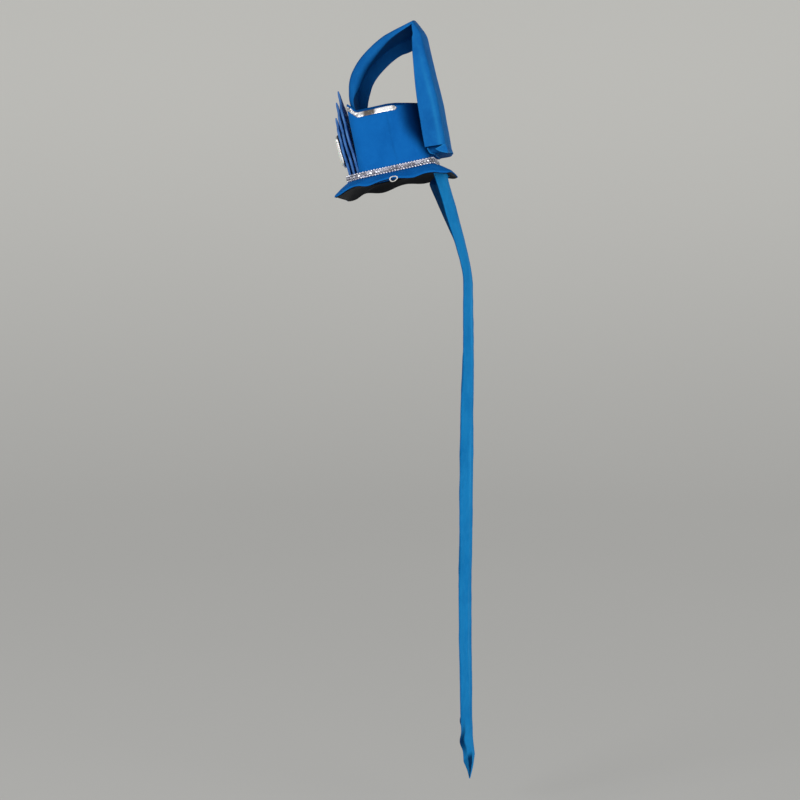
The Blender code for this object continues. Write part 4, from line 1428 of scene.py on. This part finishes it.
def streamerRings(mirror, seed):
    count = (len(streamerRows) - 1) * streamer["stepsPerRow"]
    courses = courseOf(streamerRows, count)
    rings = []
    for index, (z, y, x, turn, fall) in enumerate(courses):
        here = Vector((x, y, z))
        ahead = Vector(courses[min(index + 1, count)][2::-1])
        behind = Vector(courses[max(index - 1, 0)][2::-1])
        along = (ahead - behind).normalized()
        across = Vector((math.cos(math.radians(turn)), -math.sin(math.radians(turn)), 0))
        face = along.cross(across).normalized()
        if face.y < 0:
            face = -face
        narrow = min(1.0, (z - streamerLow) / streamer["point"])
        halfWidth = max(streamer["halfWidth"] * narrow, 0.8)
        ahead = rightAhead(z) if mirror < 0 else 0.0
        outer, inner = [], []
        for step in range(streamer["across"] + 1):
            share = -1 + 2 * step / streamer["across"]
            cup = streamer["cup"] * (halfWidth / streamer["halfWidth"]) * (1 - share * share)
            crease = 0.9 * bump(share, -0.3 + 0.12 * math.sin(z / 110 + seed), 0.16) * narrow
            crease -= 0.5 * bump(share, 0.38 + 0.1 * math.sin(z / 73 + seed), 0.2) * narrow
            ripple = 0.9 * wobble((share * 14, z * 0.35, seed * 9), 17, seed) * narrow
            ripple += 0.35 * wobble((share * 20, z, seed * 9), 12, seed) * narrow
            spot = here + across * share * halfWidth + face * (cup + crease + ripple)
            spot.z -= fall * (spot.y - here.y)
            hem = 0.18 if abs(share) > 0.85 else 0.0
            outer.append(spot + face * hem)
            inner.append(spot - face * (streamer["sheet"] + hem))
        first = (outer[0] + inner[0]) / 2 - across * 0.5
        last = (outer[-1] + inner[-1]) / 2 + across * 0.5
        ring = outer + [last] + inner[::-1] + [first]
        rings.append([Vector((mirror * p.x, p.y - ahead, p.z)) * mm for p in ring])
    return rings


def onStreamer(x, y, z):
    # a point's height in the world, and its share of the way from the strip's middle to its outer edge
    spot = lean @ Vector((x, y, z))
    centre = curveThrough(streamerRows, (streamerTop - spot.z) / (streamerTop - streamerLow))
    return spot.z, (abs(spot.x) - centre[2]) / streamer["halfWidth"]


def streamerHighlight(x, y, z):
    # a painted highlight: a lighter streak lengthways along the soft crease
    height, share = onStreamer(x, y, z)
    return 0.75 * bump(share, -0.35, 0.17) * (0.6 + 0.4 * math.sin(height / 37))


def streamerShade(x, y, z):
    # painted shade: darker along its two edges, on its front edge above the point, and in a V at the point
    # that stands in for a fold
    height, share = onStreamer(x, y, z)
    rise = (height - streamerLow - 2) / 34
    fold = 0.0
    if 0 < rise < 1.1:
        crease = 0.95 * ease((0.08 + 0.34 * rise - abs(share - 0.14)) / 0.08)
        fold = max(crease, 0.4 * ease((share - 0.05) / 0.15)) * ease((1.1 - rise) / 0.3)
    turned = 0.95 * ease((share - 0.35) / 0.25) * bump(height, -777.0, 18.0)
    return max(fold, turned, 0.35 * ease((abs(share) - 0.9) / 0.08) if rise > 1 else 0.0)


def shadeFront(piece):
    # painted shade on the side that lies to the wearer's back, most of all beside the neck, as if out of the
    # light
    for vertex, tone in zip(piece.data.vertices, piece.data.attributes["paintedShade"].data):
        if vertex.normal.y < -0.2:
            shade = mix(0.88, 0.5, ease((-vertex.co.z / mm - 50) / 150))
            tone.value = max(tone.value, shade)


def makeStreamer(name, node, mirror, seed):
    piece = sweep(name, streamerRings(mirror, seed))
    addTone(piece, "paintedHighlight", streamerHighlight)
    addTone(piece, "paintedShade", streamerShade)
    shadeFront(piece)
    finish(piece, streamerCloth, "streamer_cloth", node, angle=55)


makeStreamer("streamerLeft", "streamer_left", 1, 1.0)
makeStreamer("streamerRight", "streamer_right", -1, 4.0)
print("streamers made")


tieRing = {
    "radius": 4.2, "thread": 0.66, "at": 3.0, "plies": 19, "around": 240, "section": 14, "swing": 8,
    "depth": 1.12, "height": 0.82,
}
swing = Matrix.Rotation(math.radians(tieRing["swing"]), 3, "Z")


def tieSection(turn):
    # the twisted thread's section at this turn round a loose ring
    hemX = brim["hem"][0]
    low = tieRing["radius"] - 1.4 + hemDrop(hemX, tieRing["at"])
    centre = Vector((hemX + tieRing["thread"] + 0.6, tieRing["at"], -low))
    loose = 0.35 * math.sin(2 * turn + 0.7) + 0.25 * math.sin(3 * turn + 1)
    knot = 0.3 * abs(math.cos(turn)) * abs(math.sin(1.5 * turn + 1))
    section = []
    for step in range(tieRing["section"]):
        angle = tau * step / tieRing["section"]
        ply = 0.3 * abs(math.cos(angle - tieRing["plies"] * turn))
        radius = tieRing["thread"] * (0.72 + ply + knot)
        reach = tieRing["radius"] + loose + radius * math.cos(angle)
        across = radius * math.sin(angle) + 0.15 * math.sin(2 * turn)
        spot = (across, tieRing["depth"] * reach * math.cos(turn), tieRing["height"] * reach * math.sin(turn))
        section.append(toWorld(*(centre + swing @ Vector(spot))))
    return section


rings = [tieSection(tau * step / tieRing["around"]) for step in range(tieRing["around"])]
tie = sweep("tieRing", rings, looped=True)
finish(tie, whiteThread, "white_thread", "tie_loop")
print("tie ring made")


camera = {"place": (2.592, 0.2104, -0.117), "aim": (0.0, 0.0064, -0.311), "angle": 24.08}
stageSet = {"floor": -0.90, "radius": 5.0, "bend": 1.6, "height": 4.5, "bendSteps": 12, "start": 0.5}


def aimAt(item, target):
    item.rotation_euler = (Vector(target) - item.location).to_track_quat("-Z", "Y").to_euler()


def makeCamera():
    deselectAll()
    bpy.ops.object.camera_add(location=camera["place"])
    item = bpy.context.object
    item.data.angle = math.radians(camera["angle"])
    item.data.clip_end = 50
    aimAt(item, camera["aim"])
    bpy.context.scene.camera = item


def makeStage():
    # one bowl: a floor that bends up into an even wall all round
    floor, bend = stageSet["floor"], stageSet["bend"]
    flat = stageSet["radius"] - bend
    reach, height = stageSet["start"], 0.0
    deselectAll()
    bpy.ops.mesh.primitive_circle_add(
        vertices=96, radius=reach, fill_type="NGON", location=(0, 0, floor)
    )
    bowl = bpy.context.object
    bowl.name = "studioBowl"
    bpy.ops.object.mode_set(mode="EDIT")
    bpy.ops.mesh.select_all(action="SELECT")
    course = []
    for share in shares(stageSet["bendSteps"]):
        turn = math.pi / 2 * share
        course.append((flat + bend * math.sin(turn), bend * (1 - math.cos(turn))))
    course.append((stageSet["radius"], stageSet["height"]))
    for radius, rise in course:
        bpy.ops.mesh.extrude_region_move(TRANSFORM_OT_translate={"value": (0, 0, rise - height)})
        scale = radius / reach
        bpy.ops.transform.resize(value=(scale, scale, 1.0), center_override=(0, 0, floor + rise))
        reach, height = radius, rise
    bpy.ops.mesh.delete(type="ONLY_FACE")
    bpy.ops.object.mode_set(mode="OBJECT")
    bpy.ops.object.shade_smooth()
    paint = Paint("studioPaper", Roughness=0.9, Specular_IOR_Level=0.05, Emission_Strength=1.05)
    shade = paint.add("ShaderNodeTexNoise", {}, {"Vector": paint.place(), "Scale": 0.6, "Detail": 1.0})
    # painted shade: the paper is darker towards the floor, with a little noise
    share = paint.part(paint.place(), 2).between(-0.9, 1.6) * 0.9 + shade * 0.1
    paper = paint.blend(share, rgb(0.218, 0.217, 0.212), rgb(0.327, 0.325, 0.311))
    paint.feed("Base Color", paper)
    paint.feed("Emission Color", paper)
    bowl.data.materials.append(paint.material)


lights = (
    # name, place, height of its aim, size, power
    ("keyLight", (2.4, -2.1, 0.9), -0.1, 1.5, 42),
    ("fillLight", (2.1, 2.5, 0.1), -0.3, 2.0, 30),
    ("sideLight", (3.0, 0.4, -0.3), -0.1, 1.4, 23),
)


def makeLights():
    for name, place, aim, size, power in lights:
        deselectAll()
        bpy.ops.object.light_add(type="AREA", location=place)
        item = bpy.context.object
        item.name = name
        item.data.shape = "DISK"
        item.data.size = size
        item.data.energy = power
        aimAt(item, (0, 0, aim))
    world = bpy.data.worlds.new("studio")
    world.use_nodes = True
    sky = world.node_tree.nodes["Background"].inputs
    sky["Color"].default_value = rgb(0.93, 0.95, 1.0)
    sky["Strength"].default_value = 0.2
    bpy.context.scene.world = world
    bpy.context.scene.view_settings.view_transform = "Standard"


makeCamera()
makeStage()
makeLights()
